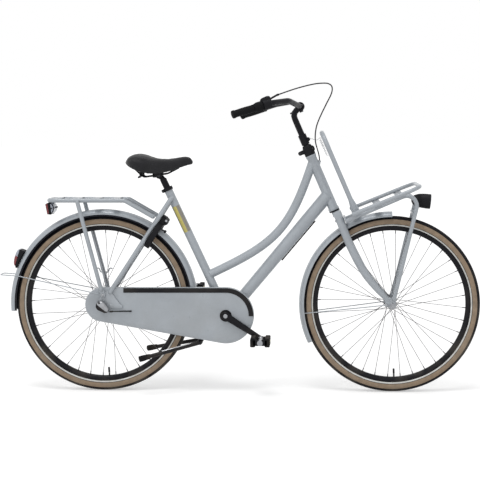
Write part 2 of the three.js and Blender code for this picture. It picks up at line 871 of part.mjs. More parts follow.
bike.add(node('chain_stays', cut(
  join(
    bothSides(chainStay()),
    rod(bridgeAt(-chainStaySpread / 2 - chainStayDiameter / 2),
      bridgeAt(chainStaySpread / 2 + chainStayDiameter / 2), chainStayBridgeDiameter),
  ),
  bracketCut,
), greyLacquer));

// Seat stays, bowed round the fender, with a bridge behind the seat tube
const stayTop = onSeat(seatTubeLength - seatStayTopDrop);
const stayLine = seatStayFoot.clone().sub(stayTop);
const stayUp = stayLine.clone().normalize().negate();
const stayAhead = point(stayUp.z, 0, -stayUp.x);
const onSeatStay = (share, y) => spread(stayTop.clone().addScaledVector(stayLine, share), y);
const seatStayRoute = rounded([
  onSeatStay(0, seatStayTopSpread),
  onSeatStay(seatStayShoulderShare, seatStayShoulderSpread),
  onSeatStay(1, stayEndSpread),
], seatStayBendRadius);
const seatStay = () => cut(
  sweep(seatStayRoute, circle(seatStayDiameter / 2, tubeSides)),
  dropoutPlate(clearance),
);
const stayBridgeAt = (y) => onSeatStay(seatStayBridgeShare, y);
bike.add(node('seat_stays', cut(
  join(
    bothSides(seatStay()),
    rod(stayBridgeAt(-seatStayShoulderSpread), stayBridgeAt(seatStayShoulderSpread), seatStayBridgeDiameter),
  ),
  seatCut,
), greyLacquer));

// Headset: the lower ring under the head tube, and the cover on top with its two lugs
bike.add(node('headset_lower_cup', ringPiece(
  headsetRingDiameter / 2, steererDiameter / 2 + clearance,
  onHead(-clearance - headsetRingHeight), steerAxis, headsetRingHeight,
), blackPlastic));
const coverFoot = headTubeLength + clearance;
function headsetCover() {
  const rim = headsetCoverDiameter / 2;
  const lug = box(headsetLugLength, headsetLugWidth, headsetCoverHeight * headsetLugShare,
    -headsetLugLength / 2, 0, coverFoot + headsetCoverHeight / 2);
  const lobe = box(headsetLobeLength, headsetLugWidth, headsetCoverHeight * headsetLobeShare,
    headsetLobeLength / 2, 0, coverFoot + headsetCoverHeight / 2);
  return cut(
    join(
      turned([
        [0, coverFoot], [rim, coverFoot], [rim, coverFoot + headsetCoverHeight * headsetShoulderShare],
        [rim * headsetCrownShare, coverFoot + headsetCoverHeight], [0, coverFoot + headsetCoverHeight],
      ], point(0, 0, 0), upward),
      lug, lobe,
    ),
    disc(bored(quillDiameter / 2, tubeSides), point(0, 0, coverFoot - overrun), upward,
      headsetCoverHeight + 2 * overrun, tubeSides),
    disc(bored(steererDiameter / 2, tubeSides), point(0, 0, coverFoot - overrun), upward,
      steererStandoff + overrun + clearance, tubeSides),
  );
}
const fixedHead = new THREE.Group();
fixedHead.position.copy(headBase);
fixedHead.rotation.y = -headAngle;
fixedHead.add(node('headset_cover', headsetCover(), blackPlastic));
bike.add(fixedHead);

// Seat clamp round the top of the seat tube, with its bolt behind
const clampFoot = seatTubeLength - seatClampHeight + seatClampRise;
function seatClamp() {
  const bolt = onSeat(clampFoot + seatClampHeight / 2, -seatClampBoltSetback);
  return cut(
    join(
      disc(seatClampDiameter / 2, onSeat(clampFoot), seatAxis, seatClampHeight),
      rod(onSeat(clampFoot + seatClampHeight / 2), bolt, seatClampHeight),
      rod(spread(bolt, -seatClampBoltLength / 2), spread(bolt, seatClampBoltLength / 2),
        seatClampBoltDiameter),
    ),
    disc(envelope(seatOuter), onSeat(clampFoot - overrun), seatAxis,
      seatTubeLength - clampFoot + overrun + clearance, tubeSides),
    disc(postBore, onSeat(clampFoot), seatAxis, seatClampHeight + overrun, tubeSides),
  );
}
bike.add(node('seat_clamp', seatClamp(), blackPlastic));

// Seat post, saddle and rails: they slide together in the seat tube. Their own origin is
// at the clamp head, where the rails pass
const postTop = onSeat(seatTubeLength + seatPostExposed);
const seatHead = postTop.clone().add(point(-seatHeadSetback, 0, seatHeadRise));
const saddleGroup = new THREE.Group();
saddleGroup.position.copy(seatHead);
bike.add(saddleGroup);
const saddleAt = (lengthShare, heightShare, y) => point(
  saddleLength * lengthShare - saddleTailBack, y, saddleBaseRise + saddleHeight * heightShare);
function saddleRail(diameter) {
  return sweep(rounded([
    saddleAt(...railNoseShares, railNoseSpread),
    saddleAt(...railBendShares, saddleRailSpread),
    saddleAt(...railBackShares, saddleRailSpread),
    saddleAt(...railTailShares, railTailSpread),
  ], saddleRailBendRadius), circle(diameter / 2, rodSides));
}
const railNose = (y) => saddleAt(...railNoseShares, y);
const railTail = (y) => saddleAt(...railTailShares, y);
const saddleRails = (diameter) => join(
  bothSides(saddleRail(diameter)),
  rod(railNose(-railNoseSpread - diameter / 2), railNose(railNoseSpread + diameter / 2), diameter),
  rod(railTail(-railTailSpread - diameter / 2), railTail(railTailSpread + diameter / 2), diameter),
);
const railEnvelope = saddleRails(saddleRailDiameter + 2 * clearance);
saddleGroup.add(node('saddle_rails', saddleRails(saddleRailDiameter), silver));

const headOnSaddle = postTop.clone().sub(seatHead);
function seatPost() {
  const foot = headOnSaddle.clone().addScaledVector(seatAxis, -seatPostExposed - seatPostBuried);
  const body = join(
    disc(seatPostDiameter / 2, foot, seatAxis, seatPostBuried + seatPostExposed, tubeSides),
    rod(headOnSaddle.clone().addScaledVector(seatAxis, -seatHeadDiameter / 2), point(0, 0, 0),
      seatPostDiameter * postNeckShare, tubeSides),
    rod(point(0, -seatHeadWidth / 2, 0), point(0, seatHeadWidth / 2, 0), seatHeadDiameter, tubeSides),
  );
  return cut(body, railEnvelope);
}
saddleGroup.add(node('seat_post', seatPost(), blackLacquer));

// The saddle's skin runs from tail to nose: each section has a crown, a groove between
// the two rear lobes, and a skirt that the rails pass behind
function saddleSection(i) {
  const half = saddleWidth / 2 * saddleWidthShares[i];
  const [bottom, top] = [saddleBottomShares[i], saddleTopShares[i]];
  const groove = [0, 1 - saddleGrooveShares[i]];
  const right = [groove, ...saddleOutlineShares];
  const left = saddleOutlineShares.slice(0, -1).reverse().map(([y, z]) => [-y, z]);
  return [...right, ...left].map(([yShare, zShare]) => saddleAt(
    saddleStationShares[i], bottom + (top - bottom) * zShare, half * yShare));
}
saddleGroup.add(node('saddle', cut(loft(saddleStationShares.map((_, i) => saddleSection(i))), railEnvelope),
  blackRubber));

// Fork, along and ahead of the steering axis: steerer, crown, blades and fork ends
const axleAhead = forkRake;
const axleAlong = -forkLength;
const forkEndInner = frontHubWidth / 2 + clearance;
const crownTop = -2 * clearance - headsetRingHeight;
const crownAhead = forkRake * bladeShares[0][1];
const forkAt = (dropShare, rakeShare, y) => point(forkRake * rakeShare, y, -forkLength * dropShare);
function forkBlade() {
  const route = bladeShares.map(([dropShare, rakeShare]) => forkAt(
    dropShare, rakeShare, crownSpread + (bladeSpreadTip - crownSpread) * dropShare));
  return sweep(route, circle(bladeTopDiameter / 2, rodSides, bladeWidthShare), { scales: bladeWidthShares });
}
function forkEnd() {
  const tip = forkAt(...bladeShares[bladeShares.length - 1], 0);
  const half = forkEndWidth / 2;
  const outline = [
    ...arc(axleAhead, axleAlong, half, Math.PI, 2 * Math.PI, bendSteps),
    [tip.x + half, tip.z + half], [tip.x - half, tip.z + half],
    ...arc(axleAhead - frontStayEyeBack, axleAlong + half, eyeBoltDiameter,
      Math.PI / 2, Math.PI * 1.5, bendSteps),
  ];
  return cut(
    plate(outline, forkEndInner, forkEndThickness),
    disc(bored(axleDiameter / 2, tubeSides), point(axleAhead, forkEndInner - overrun, axleAlong), side,
      forkEndThickness + 2 * overrun, tubeSides),
    disc(bored(stayBoltDiameter / 2, rodSides),
      point(axleAhead - frontStayEyeBack, forkEndInner - overrun, axleAlong + half),
      side, forkEndThickness + 2 * overrun, rodSides),
  );
}
function crown() {
  const [half, low] = [crownDepth / 2, crownTop - crownHeight];
  const round = crownDepth * crownRoundShare;
  const outline = [
    ...arc(crownAhead - half + round, crownTop - round, round, Math.PI, Math.PI / 2, bendSteps),
    ...arc(crownAhead + half - round, crownTop - round, round, Math.PI / 2, 0, bendSteps),
    ...arc(crownAhead + half - round, low + round, round, 0, -Math.PI / 2, bendSteps),
    ...arc(crownAhead - half + round, low + round, round, -Math.PI / 2, -Math.PI, bendSteps),
  ];
  const reach = crownSpread + bladeTopDiameter / 2 * bladeWidthShare;
  return plate(outline, -reach, 2 * reach);
}
// A lug behind the crown holds the fender's own bolt below the crown bolt
const crownTail = () => join(
  box(crownLugThickness, crownLugWidth, crownHeight / 2 + crownBoltPitch,
    crownAhead - crownDepth / 2 + crownLugThickness / 2 - clearance, 0,
    crownTop - crownHeight / 2 - crownBoltPitch / 2),
  crownBolt(1),
);
const crownBolt = (i) => rod(
  point(crownAhead, 0, crownTop - crownHeight / 2 - crownBoltPitch * i),
  point(crownAhead - crownDepth / 2 - crownBoltLength, 0, crownTop - crownHeight / 2 - crownBoltPitch * i),
  crownBoltDiameter);
const steererTop = coverFoot + steererStandoff;
steering.add(node('fork', cut(
  join(
    disc(steererDiameter / 2, point(0, 0, crownTop - crownHeight / 2), upward,
      steererTop - crownTop + crownHeight / 2, tubeSides),
    crown(), crownBolt(0), crownTail(),
    bothSides(join(forkBlade(), forkEnd())),
  ),
  disc(steererBore / 2, point(0, 0, crownTop - crownHeight - overrun), upward,
    steererTop - crownTop + crownHeight + 2 * overrun, tubeSides),
), greyLacquer));

// The bar's route: from the clamp it rises to each bend, then sweeps back to the straight grips
const clampPlace = point(stemReach, 0, stemClampHeight);
const barAt = (back, rise, y) => point(stemReach - back, y, stemClampHeight + rise);
const barRoute = (sign) => [
  barAt(barBendBack, barBendRise, sign * barBendSpread),
  barAt(barStraightBack, barStraightRise, sign * barStraightSpread),
  barAt(barEndBack, barEndRise, sign * barEndSpread),
];
function barTube(radius, extra) {
  const half = (sign) => {
    const [bend, from, to] = barRoute(sign);
    const direction = to.clone().sub(from).normalize();
    const end = to.clone().addScaledVector(direction, extra);
    return [spread(clampPlace, sign * stemClampWidth / 2), bend, from, end];
  };
  return sweep(rounded([...half(-1).reverse(), ...half(1)], barBendRadius), circle(radius, tubeSides));
}
const barCut = barTube(envelope(barDiameter / 2), clearance);

// Stem with its quill in the steerer, and the round clamp on its forward top
steering.add(node('stem', cut(
  join(
    disc(quillDiameter / 2, point(0, 0, coverFoot - quillDepth), upward,
      quillDepth + springClampLift, tubeSides),
    disc(stemDiameter / 2, point(0, 0, coverFoot + headsetCoverHeight + clearance), upward,
      stemHeight - coverFoot - headsetCoverHeight, tubeSides),
    rod(point(0, 0, stemHeight - stemDiameter / 2), clampPlace, stemDiameter, tubeSides),
    rod(spread(clampPlace, -stemClampWidth / 2), spread(clampPlace, stemClampWidth / 2),
      2 * stemClampRadius, tubeSides),
    springClampBand(),
  ),
  barCut,
), blackLacquer));
function springClampBand() {
  const foot = coverFoot + springClampLift;
  return join(
    disc(springClampDiameter / 2, point(0, 0, foot), upward, springClampHeight, tubeSides),
    new THREE.SphereGeometry(springBallDiameter / 2, rodSides, rodSides / 2)
      .translate(springClampDiameter / 2, 0, foot + springBallDiameter),
  );
}

steering.add(node('handlebar', barTube(barDiameter / 2, 0), blackLacquer));

// Grips, twist shifter and its housing share the straight ends of the bar. Each sleeve
// runs between two shares of that straight
function barEnd(sign) {
  const [, from, to] = barRoute(sign);
  return { from, to, direction: to.clone().sub(from).normalize(), length: to.distanceTo(from) };
}
function sleeve(sign, fromShare, toShare, profile) {
  const { from, to, direction, length } = barEnd(sign);
  const start = from.clone().lerp(to, fromShare);
  const run = length * (toShare - fromShare);
  const bore = bored(barDiameter / 2, tubeSides, runningGap);
  return turned([
    [bore, 0], ...profile.map(([share, radius]) => [radius, run * share]), [bore, run],
  ], start, direction, tubeSides);
}
function grip(sign, fromShare) {
  const { from, to, direction, length } = barEnd(sign);
  const start = from.clone().lerp(to, fromShare);
  const run = length * (1 - fromShare);
  const [waist, body, cap] = [gripDiameter / 2 * gripWaistShare, gripDiameter / 2, gripEndCapDiameter / 2];
  return cut(turned([
    [0, 0], [waist, 0], ...gripSwellShares.map((share) => [body, run * share]),
    [cap, run], [cap, run + gripEndCapLength / 2], [cap * gripWaistShare, run + gripEndCapLength],
    [0, run + gripEndCapLength],
  ], start, direction, tubeSides), barCut);
}
steering.add(node('grip_left', grip(1, gripLeftShare), blackRubber));
steering.add(node('grip_right', grip(-1, gripRightShare), blackRubber));
steering.add(node('shifter_twist', sleeve(-1, ...twistShares, [
  [0, twistDiameter / 2], [twistTaperShare, twistDiameter / 2], [1, gripDiameter / 2],
]), blackRubber));

// Shift cable: from the housing forward in a high loop, then down to the head tube's port.
// Its places are [ahead, across, along] from the head tube's lower end
const cableRoute = [
  [-16, -215, 511], [43, -200, 507], [92, -182, 501], [134, -162, 493], [161, -146, 484],
  [177, -130, 476], [186, -115, 464], [185, -102, 452], [175, -86, 436], [145, -62, 410],
  [103, -42, 374], [70, -28, 341], [50, -19, 309], [39, -12, 280], [35, -6, 252], [31, -2, 226],
].map((place) => point(...place));
const portReach = portDepth + portStandoff + 2 * clearance;
const portEnd = steerLocal(portFrom.clone().addScaledVector(portDirection, portReach));
const cableCurve = new THREE.CatmullRomCurve3([...cableRoute, portEnd], false, 'centripetal');
steering.add(node('shift_cable', new THREE.ExtrudeGeometry(
  new THREE.Shape(circle(cableDiameter / 2, cableSides).map(([x, y]) => new THREE.Vector2(x, y))),
  { extrudePath: cableCurve, steps: cableSteps, bevelEnabled: false },
), blackRubber));
function steerLocal(place) {
  const offset = place.clone().sub(headBase);
  return point(offset.dot(steerAhead), place.y, offset.dot(steerAxis));
}

// Shifter housing: a drum round the bar with a raised display and the cable's spout
function shifterHousing() {
  const { from, to, direction, length } = barEnd(-1);
  const start = from.clone().lerp(to, shifterShares[0]);
  const run = length * (shifterShares[1] - shifterShares[0]);
  const middle = start.clone().addScaledVector(direction, run / 2);
  const spout = cableRoute[1].clone().sub(cableRoute[0]).normalize();
  const spoutEnd = cableRoute[0].clone().addScaledVector(spout, -clearance);
  const spoutStart = spoutEnd.clone().addScaledVector(spout, -shifterSpoutDiameter);
  return cut(
    join(
      disc(shifterDiameter / 2, start, direction, run, tubeSides),
      box(shifterDisplayWidth, shifterDisplayWidth, shifterDisplayHeight + shifterDiameter / 2, 0, 0, 0)
        .rotateZ(Math.atan2(direction.y, direction.x))
        .translate(middle.x, middle.y, middle.z + (shifterDisplayHeight + shifterDiameter / 2) / 2),
      rod(middle.clone().setZ(spoutEnd.z - shifterSpoutDrop), spoutStart, shifterSpoutDiameter),
      rod(spoutStart, spoutEnd, shifterSpoutDiameter),
    ),
    barCut,
  );
}
steering.add(node('shifter_housing', shifterHousing(), blackPlastic));

// Front carrier: a U of tube with cross slats, and a bent leg down each side to the axle
const railRear = point(railRearReach, railSpread, -railRearDrop);
const railFront = point(railFrontReach, railSpread, -railFrontDrop);
const railAt = (ahead) => -railRearDrop - (railFrontDrop - railRearDrop)
  * (ahead - railRearReach) / (railFrontReach - railRearReach);
const slatAheads = slatShares.map((share) => railRearReach + (railFrontReach - railRearReach) * share);
const legCorner = point(carrierLegCornerReach, carrierLegSpread, -carrierLegDrop);
const legEnd = point(axleAhead, carrierLegSpread, axleAlong);
const legLine = legEnd.clone().sub(legCorner).normalize();
const legAt = (drop) => legCorner.clone().addScaledVector(legLine, (drop - carrierLegDrop) / -legLine.z);
const legFootInner = forkEndInner + forkEndThickness + clearance;
function carrierLeg() {
  const crownStart = point(
    crownAhead + crownDepth / 2 + crownPlateThickness, carrierLegSpread, -carrierLegDrop);
  const tubeEnd = legEnd.clone().addScaledVector(legLine, -carrierFootLength);
  const half = carrierFootWidth / 2;
  const turn = Math.atan2(-legLine.z, -legLine.x);
  const foot = plate([
    ...arc(axleAhead, axleAlong, half, turn + Math.PI / 2, turn + 1.5 * Math.PI, bendSteps),
    ...arc(tubeEnd.x, tubeEnd.z, half, turn - Math.PI / 2, turn + Math.PI / 2, bendSteps),
  ], legFootInner, carrierFootThickness);
  return cut(
    join(
      sweep(rounded([crownStart, legCorner, tubeEnd], carrierLegBendRadius),
        circle(carrierLegDiameter / 2, rodSides)),
      foot, footNeck(tubeEnd),
    ),
    disc(bored(axleDiameter / 2, tubeSides), point(axleAhead, legFootInner - overrun, axleAlong), side,
      carrierFootThickness + 2 * overrun, tubeSides),
  );
}
// The tube's lower end is pressed flat against the foot plate
function footNeck(tubeEnd) {
  const reach = carrierLegSpread - legFootInner;
  return rod(
    tubeEnd.clone().setY(legFootInner), tubeEnd.clone().setY(legFootInner + reach),
    carrierLegDiameter, tubeSides);
}
const lampPivot = legAt(lampPivotDrop).setY(0);
function frontCarrier() {
  const rails = sweep(rounded([
    railRear, railFront, railFront.clone().setY(-railSpread), railRear.clone().setY(-railSpread),
  ], railBendRadius), circle(railDiameter / 2, rodSides));
  const slats = slatAheads.map((ahead) => box(slatWidth, 2 * railSpread, slatThickness,
    ahead, 0, railAt(ahead) - railDiameter / 2 - slatThickness / 2 + slatSink));
  const crownPlate = box(crownPlateThickness, 2 * carrierLegSpread + carrierLegDiameter, crownPlateHeight,
    crownAhead + crownDepth / 2 + clearance + crownPlateThickness / 2, 0, -crownPlateDrop);
  const strap = box(lampStrapThickness, 2 * carrierLegSpread, lampStrapHeight,
    lampPivot.x - lampEarReach, 0, lampPivot.z);
  const ear = box(lampEarReach + lampPivotDiameter, lampEarThickness, lampStrapHeight,
    lampPivot.x - lampEarReach / 2 + lampPivotDiameter / 2, lampEarWidth / 2 - lampEarThickness / 2,
    lampPivot.z);
  return cut(
    join(rails, ...slats, crownPlate, strap, bothSides(join(carrierLeg(), ear))),
    rod(spread(lampPivot, -lampEarWidth), spread(lampPivot, lampEarWidth),
      2 * bored(lampPivotDiameter / 2, rodSides)),
  );
}
steering.add(node('front_carrier', frontCarrier(), greyLacquer));

// The upright hoop stands on the carrier's rear slat, parallel to the steering axis
const uprightFoot = railAt(slatAheads[0]) - railDiameter / 2 + slatSink + clearance;
function carrierUpright() {
  const [bottom, top] = [uprightFoot + uprightFootThickness / 2, uprightTop];
  const hoop = sweep(rounded([
    point(uprightReach, -uprightSpread, bottom), point(uprightReach, -uprightSpread, top),
    point(uprightReach, uprightSpread, top), point(uprightReach, uprightSpread, bottom),
  ], uprightBendRadius), circle(uprightDiameter / 2, rodSides));
  const gusset = plate([
    [uprightReach - uprightFootWidth / 2, uprightFoot], [uprightReach + uprightFootWidth / 2, uprightFoot],
    [uprightReach + uprightFootWidth / 2, uprightFoot + uprightFootThickness],
    [uprightReach + uprightDiameter / 2, uprightFoot + uprightFootHeight],
    [uprightReach - uprightDiameter / 2, uprightFoot + uprightFootHeight],
    [uprightReach - uprightFootWidth / 2, uprightFoot + uprightFootThickness],
  ], uprightSpread - uprightFootThickness / 2, uprightFootThickness);
  const sole = box(uprightFootWidth, uprightFootWidth, uprightFootThickness,
    uprightReach, uprightSpread, uprightFoot + uprightFootThickness / 2);
  const crossbar = rod(
    point(uprightReach, -uprightSpread, springBottom - springKnobHeight / 2),
    point(uprightReach, uprightSpread, springBottom - springKnobHeight / 2), uprightCrossDiameter);
  return join(hoop, crossbar, bothSides(join(gusset, sole)));
}
steering.add(node('carrier_upright', carrierUpright(), greyLacquer));

// Spring behind the upright: hooked to the ball on the stem foot, wound down to a knob on
// the upright's crossbar. One unbroken wire
const springAhead = uprightReach - springSetback;
const springRadius = (springDiameter - springWire) / 2;
const springPitch = (springTop - springBottom) / springTurns;
function springWireRoute() {
  const ball = point(springClampDiameter / 2 + springBallDiameter / 2 + clearance + springWire / 2, 0,
    coverFoot + springClampLift + springBallDiameter);
  const total = springTurns * springSteps;
  const coil = Array.from({ length: total + 1 }, (_, i) => {
    const angle = 2 * Math.PI * i / springSteps;
    return point(
      springAhead + springRadius * Math.cos(angle), springRadius * Math.sin(angle),
      springTop - springPitch * i / springSteps);
  });
  return [
    ball,
    point(springAhead - springHookReach / 2, 0, springTop + springHookRise / 2),
    point(springAhead + springRadius, 0, springTop + springHookRise),
    ...coil,
    point(springAhead + springRadius, 0, springBottom - springHookRise / 2),
  ];
}
const springRoute = springWireRoute();
steering.add(node('carrier_spring', sweep(springRoute, circle(springWire / 2, springSides)), silver));
function leastSelfGap(route, wire, skip) {
  let least = Infinity;
  route.forEach((p, i) => route.slice(i + skip).forEach((q) => {
    least = Math.min(least, p.distanceTo(q) - wire);
  }));
  return least;
}
const springGap = leastSelfGap(springRoute, springWire, springSteps / 2);
console.log(`carrier_spring: least gap to itself, on its points, ${springGap.toFixed(2)} mm`);

// Headlamp: a bowl on a stem that tilts on its pivot between the carrier legs' ears
const lampGroup = new THREE.Group();
lampGroup.position.copy(lampPivot);
steering.add(lampGroup);
const lampAxis = point(Math.cos(lampTilt), 0, -Math.sin(lampTilt));
const lampFace = point(lampReach, 0, -lampDrop)
  .addScaledVector(lampAxis, lampLength * lampFaceShare)
  .sub(lampPivot);
const lampBack = lampFace.clone().addScaledVector(lampAxis, -lampLength);
const lampRadius = lampDiameter / 2;
function headlamp() {
  const bowl = turned([
    ...lampShellShares.map(([radiusShare, lengthShare]) => [
      lampRadius * radiusShare, lampLength * lengthShare]),
    [lampRadius - lampRimWidth, lampLength],
    [lampRadius - lampRimWidth, lampLength - lampRimDepth],
    [0, lampLength - lampRimDepth],
  ], lampBack, lampAxis);
  const stemTop = lampBack.clone().lerp(lampFace, lampStemShare);
  return join(
    bowl,
    sweep([point(0, 0, 0), stemTop], circle(lampStemWidth / 2, rodSides)),
    rod(point(0, -lampEarGap, 0), point(0, lampEarGap, 0), lampStemWidth),
    rod(point(0, -lampPinReach, 0), point(0, lampPinReach, 0), lampPivotDiameter),
  );
}
lampGroup.add(node('headlamp', headlamp(), blackPlastic));
lampGroup.add(node('headlamp_lens', turned([
  [0, 0], [lampRadius - lampRimWidth - clearance, 0], [lampRadius - lampRimWidth - clearance, lensThickness],
  [(lampRadius - lampRimWidth) * lensCrownShare, lensThickness + lensCrown], [0, lensThickness + lensCrown],
], lampFace.clone().addScaledVector(lampAxis, clearance - lampRimDepth), lampAxis), clearLens));

// A fender: a curved channel swept round the wheel. The section is [across, towards the
// axle], from a crowned outside to its two side edges
function fender(crownRadius, from, to) {
  const outer = fenderSection(fenderHalfWidth, fenderCrownDepth);
  const inner = fenderSection(fenderHalfWidth - fenderThickness, fenderCrownDepth - fenderThickness)
    .map(([y, depth]) => [y, depth + fenderThickness]).reverse();
  const steps = Math.ceil((to - from) / fenderArcStep);
  const route = Array.from({ length: steps + 1 }, (_, i) => from + (to - from) * i / steps);
  return loft(route.map((angle) => [...outer, ...inner].map(([y, depth]) => point(
    (crownRadius - depth) * Math.cos(angle), y, (crownRadius - depth) * Math.sin(angle)))));
}
function fenderSection(half, depth) {
  return Array.from({ length: fenderSectionSteps + 1 }, (_, i) => {
    const angle = Math.PI * (i / fenderSectionSteps - 0.5);
    return [half * Math.sin(angle), depth * (1 - Math.cos(angle))];
  });
}
const frontCrownRadius = wheelRadius + frontFenderGap;
const rearCrownRadius = wheelRadius + rearFenderGap;
const frontWheelGroup = new THREE.Group();
frontWheelGroup.position.set(axleAhead, 0, axleAlong);
steering.add(frontWheelGroup);
frontWheelGroup.add(node('front_fender', fender(frontCrownRadius, frontFenderStart, frontFenderEnd),
  greyLacquer));

// Front fender stay: a U of rod from both fork ends, crossing inside the fender
function frontStay() {
  const eye = point(-frontStayEyeBack, forkEndInner + forkEndThickness + clearance, forkEndWidth / 2);
  const crossRadius = wheelRadius + frontStayLift;
  const corner = point(
    crossRadius * Math.cos(frontStayAngle), frontStayInset, crossRadius * Math.sin(frontStayAngle));
  const start = spread(eye, eye.y + stayEyeThickness / 2);
  const bend = spread(corner, frontStayInset);
  return cut(
    join(
      sweep(rounded([start, bend, spread(bend, -frontStayInset), spread(start, -start.y)],
        frontStayBendRadius), circle(stayDiameter / 2, rodSides)),
      bothSides(disc(stayEyeDiameter / 2, eye, side, stayEyeThickness, tubeSides)),
    ),
    bothSides(disc(bored(stayBoltDiameter / 2, rodSides), spread(eye, eye.y - overrun), side,
      stayEyeThickness + 2 * overrun, rodSides)),
  );
}
frontWheelGroup.add(node('front_fender_stay', frontStay(), greyLacquer));

// Axles with their nuts, and the wheels turning on them
function axle(reach, nutFrom) {
  const nut = (y) => disc(axleNutRadius, point(0, y, 0), side, axleNutWidth, axleNutSides);
  return join(
    disc(axleDiameter / 2, point(0, -reach, 0), side, 2 * reach, tubeSides),
    bothSides(nut(nutFrom)),
  );
}
const frontNutFrom = legFootInner + carrierFootThickness + clearance;
frontWheelGroup.add(node('front_axle', axle(frontNutFrom + axleNutWidth + axleStub, frontNutFrom), silver));

// A hub: barrel, two spoke flanges and end caps, bored for its axle
function hub(width, flangeRadius, flangeSpread, barrelRadius) {
  const half = width / 2 - runningGap;
  const [outer, inner] = [flangeSpread, flangeSpread - flangeThickness];
  const bore = envelope(axleDiameter / 2);
  const profile = [
    [bore, half], [hubCapRadius, half], [hubCapRadius, half - hubCapLength],
    [hubNeckRadius, half - hubCapLength], [hubNeckRadius, outer],
    [flangeRadius, outer], [flangeRadius, inner], [barrelRadius, inner],
  ];
  return turned([...profile, ...profile.map(([r, y]) => [r, -y]).reverse()],
    point(0, 0, 0), side, hubSegments);
}

// Rim with its spokes and valve. The rim is a channel: bead seats, a well and hollow walls
function rim(phase, flangeRadius, flangeSpread, valveAngle) {
  const [half, well] = [rimWidth / 2, rimOuterRadius - beadDepth];
  const profile = [
    [rimInnerRadius, half * rimShoulderShare], [rimOuterRadius, half],
    [rimOuterRadius, half - rimWall], [well, half - rimWall],
  ];
  const hoop = turned([
    ...profile, ...profile.map(([r, y]) => [r, -y]).reverse(),
  ], point(0, 0, 0), side, wheelSegments);
  const holeRadius = flangeRadius - flangeRim;
  const spokes = Array.from({ length: spokeCount }, (_, i) => {
    const angle = phase + 2 * Math.PI * i / spokeCount;
    const sideSign = i % 2 ? 1 : -1;
    const lean = Math.floor(i / 2) % 2 ? 1 : -1;
    const flange = lean > 0
      ? flangeSpread + clearance + spokeDiameter / 2 + spokeLift
      : flangeSpread - flangeThickness - clearance - spokeDiameter / 2;
    const hubAngle = angle + lean * spokeCross;
    const from = point(holeRadius * Math.cos(hubAngle), sideSign * flange, holeRadius * Math.sin(hubAngle));
    const reach = rimInnerRadius + spokeSink;
    const to = point(reach * Math.cos(angle), sideSign * rimWall / 2, reach * Math.sin(angle));
    return rod(from, to, spokeDiameter, spokeSides);
  });
  const valve = rod(
    point((rimInnerRadius + rimWall) * Math.cos(valveAngle), 0,
      (rimInnerRadius + rimWall) * Math.sin(valveAngle)),
    point((rimInnerRadius - valveLength) * Math.cos(valveAngle), 0,
      (rimInnerRadius - valveLength) * Math.sin(valveAngle)),
    valveDiameter);
  return join(hoop, valve, ...spokes);
}

// Tyre: its beads seat between the rim's edges
function tyre() {
  const [half, crown] = [tyreWidth / 2, wheelRadius];
  const depth = wheelRadius - rimOuterRadius;
  const bead = rimWidth / 2 - rimWall - clearance;
  const profile = [
    [rimOuterRadius - beadDepth + clearance, bead], [rimOuterRadius + clearance, bead],
    ...tyreProfileShares.map(([widthShare, heightShare]) => [
      crown - depth + depth * heightShare, half * widthShare]),
  ];
  return turned([...profile, [crown, 0], ...profile.map(([r, y]) => [r, -y]).reverse()],
    point(0, 0, 0), side, wheelSegments);
}
frontWheelGroup.add(node('front_hub',
  hub(frontHubWidth, frontFlangeRadius, frontFlangeSpread, hubBarrelRadius), silver));
frontWheelGroup.add(node('front_rim', rim(frontSpokePhase - headAngle, frontFlangeRadius, frontFlangeSpread,
  frontValveAngle - headAngle), blackLacquer));
frontWheelGroup.add(node('front_tyre', tyre(), blackRubber));

const rearWheelGroup = new THREE.Group();
rearWheelGroup.position.copy(rearAxle);
bike.add(rearWheelGroup);
rearWheelGroup.add(node('rear_hub', hub(rearHubWidth, rearFlangeRadius, rearFlangeSpread, gearBarrelRadius),
  silver));
rearWheelGroup.add(node('rear_rim', rim(rearSpokePhase, rearFlangeRadius, rearFlangeSpread, rearValveAngle),
  blackLacquer));
rearWheelGroup.add(node('rear_tyre', tyre(), blackRubber));
rearWheelGroup.add(node('rear_fender', fender(rearCrownRadius, rearFenderStart, rearFenderEnd),
  greyLacquer));

// Rear axle
const rearNutFrom = dropoutInner + dropoutThickness + clearance;
const rearAxleReach = rearNutFrom + axleNutWidth + axleStub;
rearWheelGroup.add(node('rear_axle', axle(rearAxleReach, rearNutFrom), silver));

// Rear fender stay: from both dropouts along the fender's sides and round behind the lamp
const polar = (radius, angle, y = 0) => point(radius * Math.cos(angle), y, radius * Math.sin(angle));
const eyeLocal = dropoutEye.clone().sub(rearAxle);
function rearStay() {
  const eyeInner = rearNutFrom;
  const centre = eyeInner + stayEyeThickness / 2;
  const fenderSide = fenderHalfWidth + clearance + stayDiameter / 2;
  const sideRadius = rearCrownRadius - fenderCrownDepth;
  const corner = polar(sideRadius, rearStayAngle, fenderSide);
  const half = [
    spread(eyeLocal, centre), spread(eyeLocal.clone().lerp(corner, rearStayStepShare), centre), corner,
    point(-rearStayReach, fenderSide, rearStayRise),
  ];
  return cut(
    join(
      sweep(rounded([...half, ...half.map((p) => spread(p, -p.y)).reverse()], rearStayBendRadius),
        circle(stayDiameter / 2, rodSides)),
      bothSides(disc(stayEyeDiameter / 2, spread(eyeLocal, eyeInner), side, stayEyeThickness, tubeSides)),
    ),
    bothSides(disc(bored(eyeBoltDiameter / 2, rodSides), spread(eyeLocal, eyeInner - overrun), side,
      stayEyeThickness + 2 * overrun, rodSides)),
  );
}
rearWheelGroup.add(node('rear_fender_stay', rearStay(), greyLacquer));

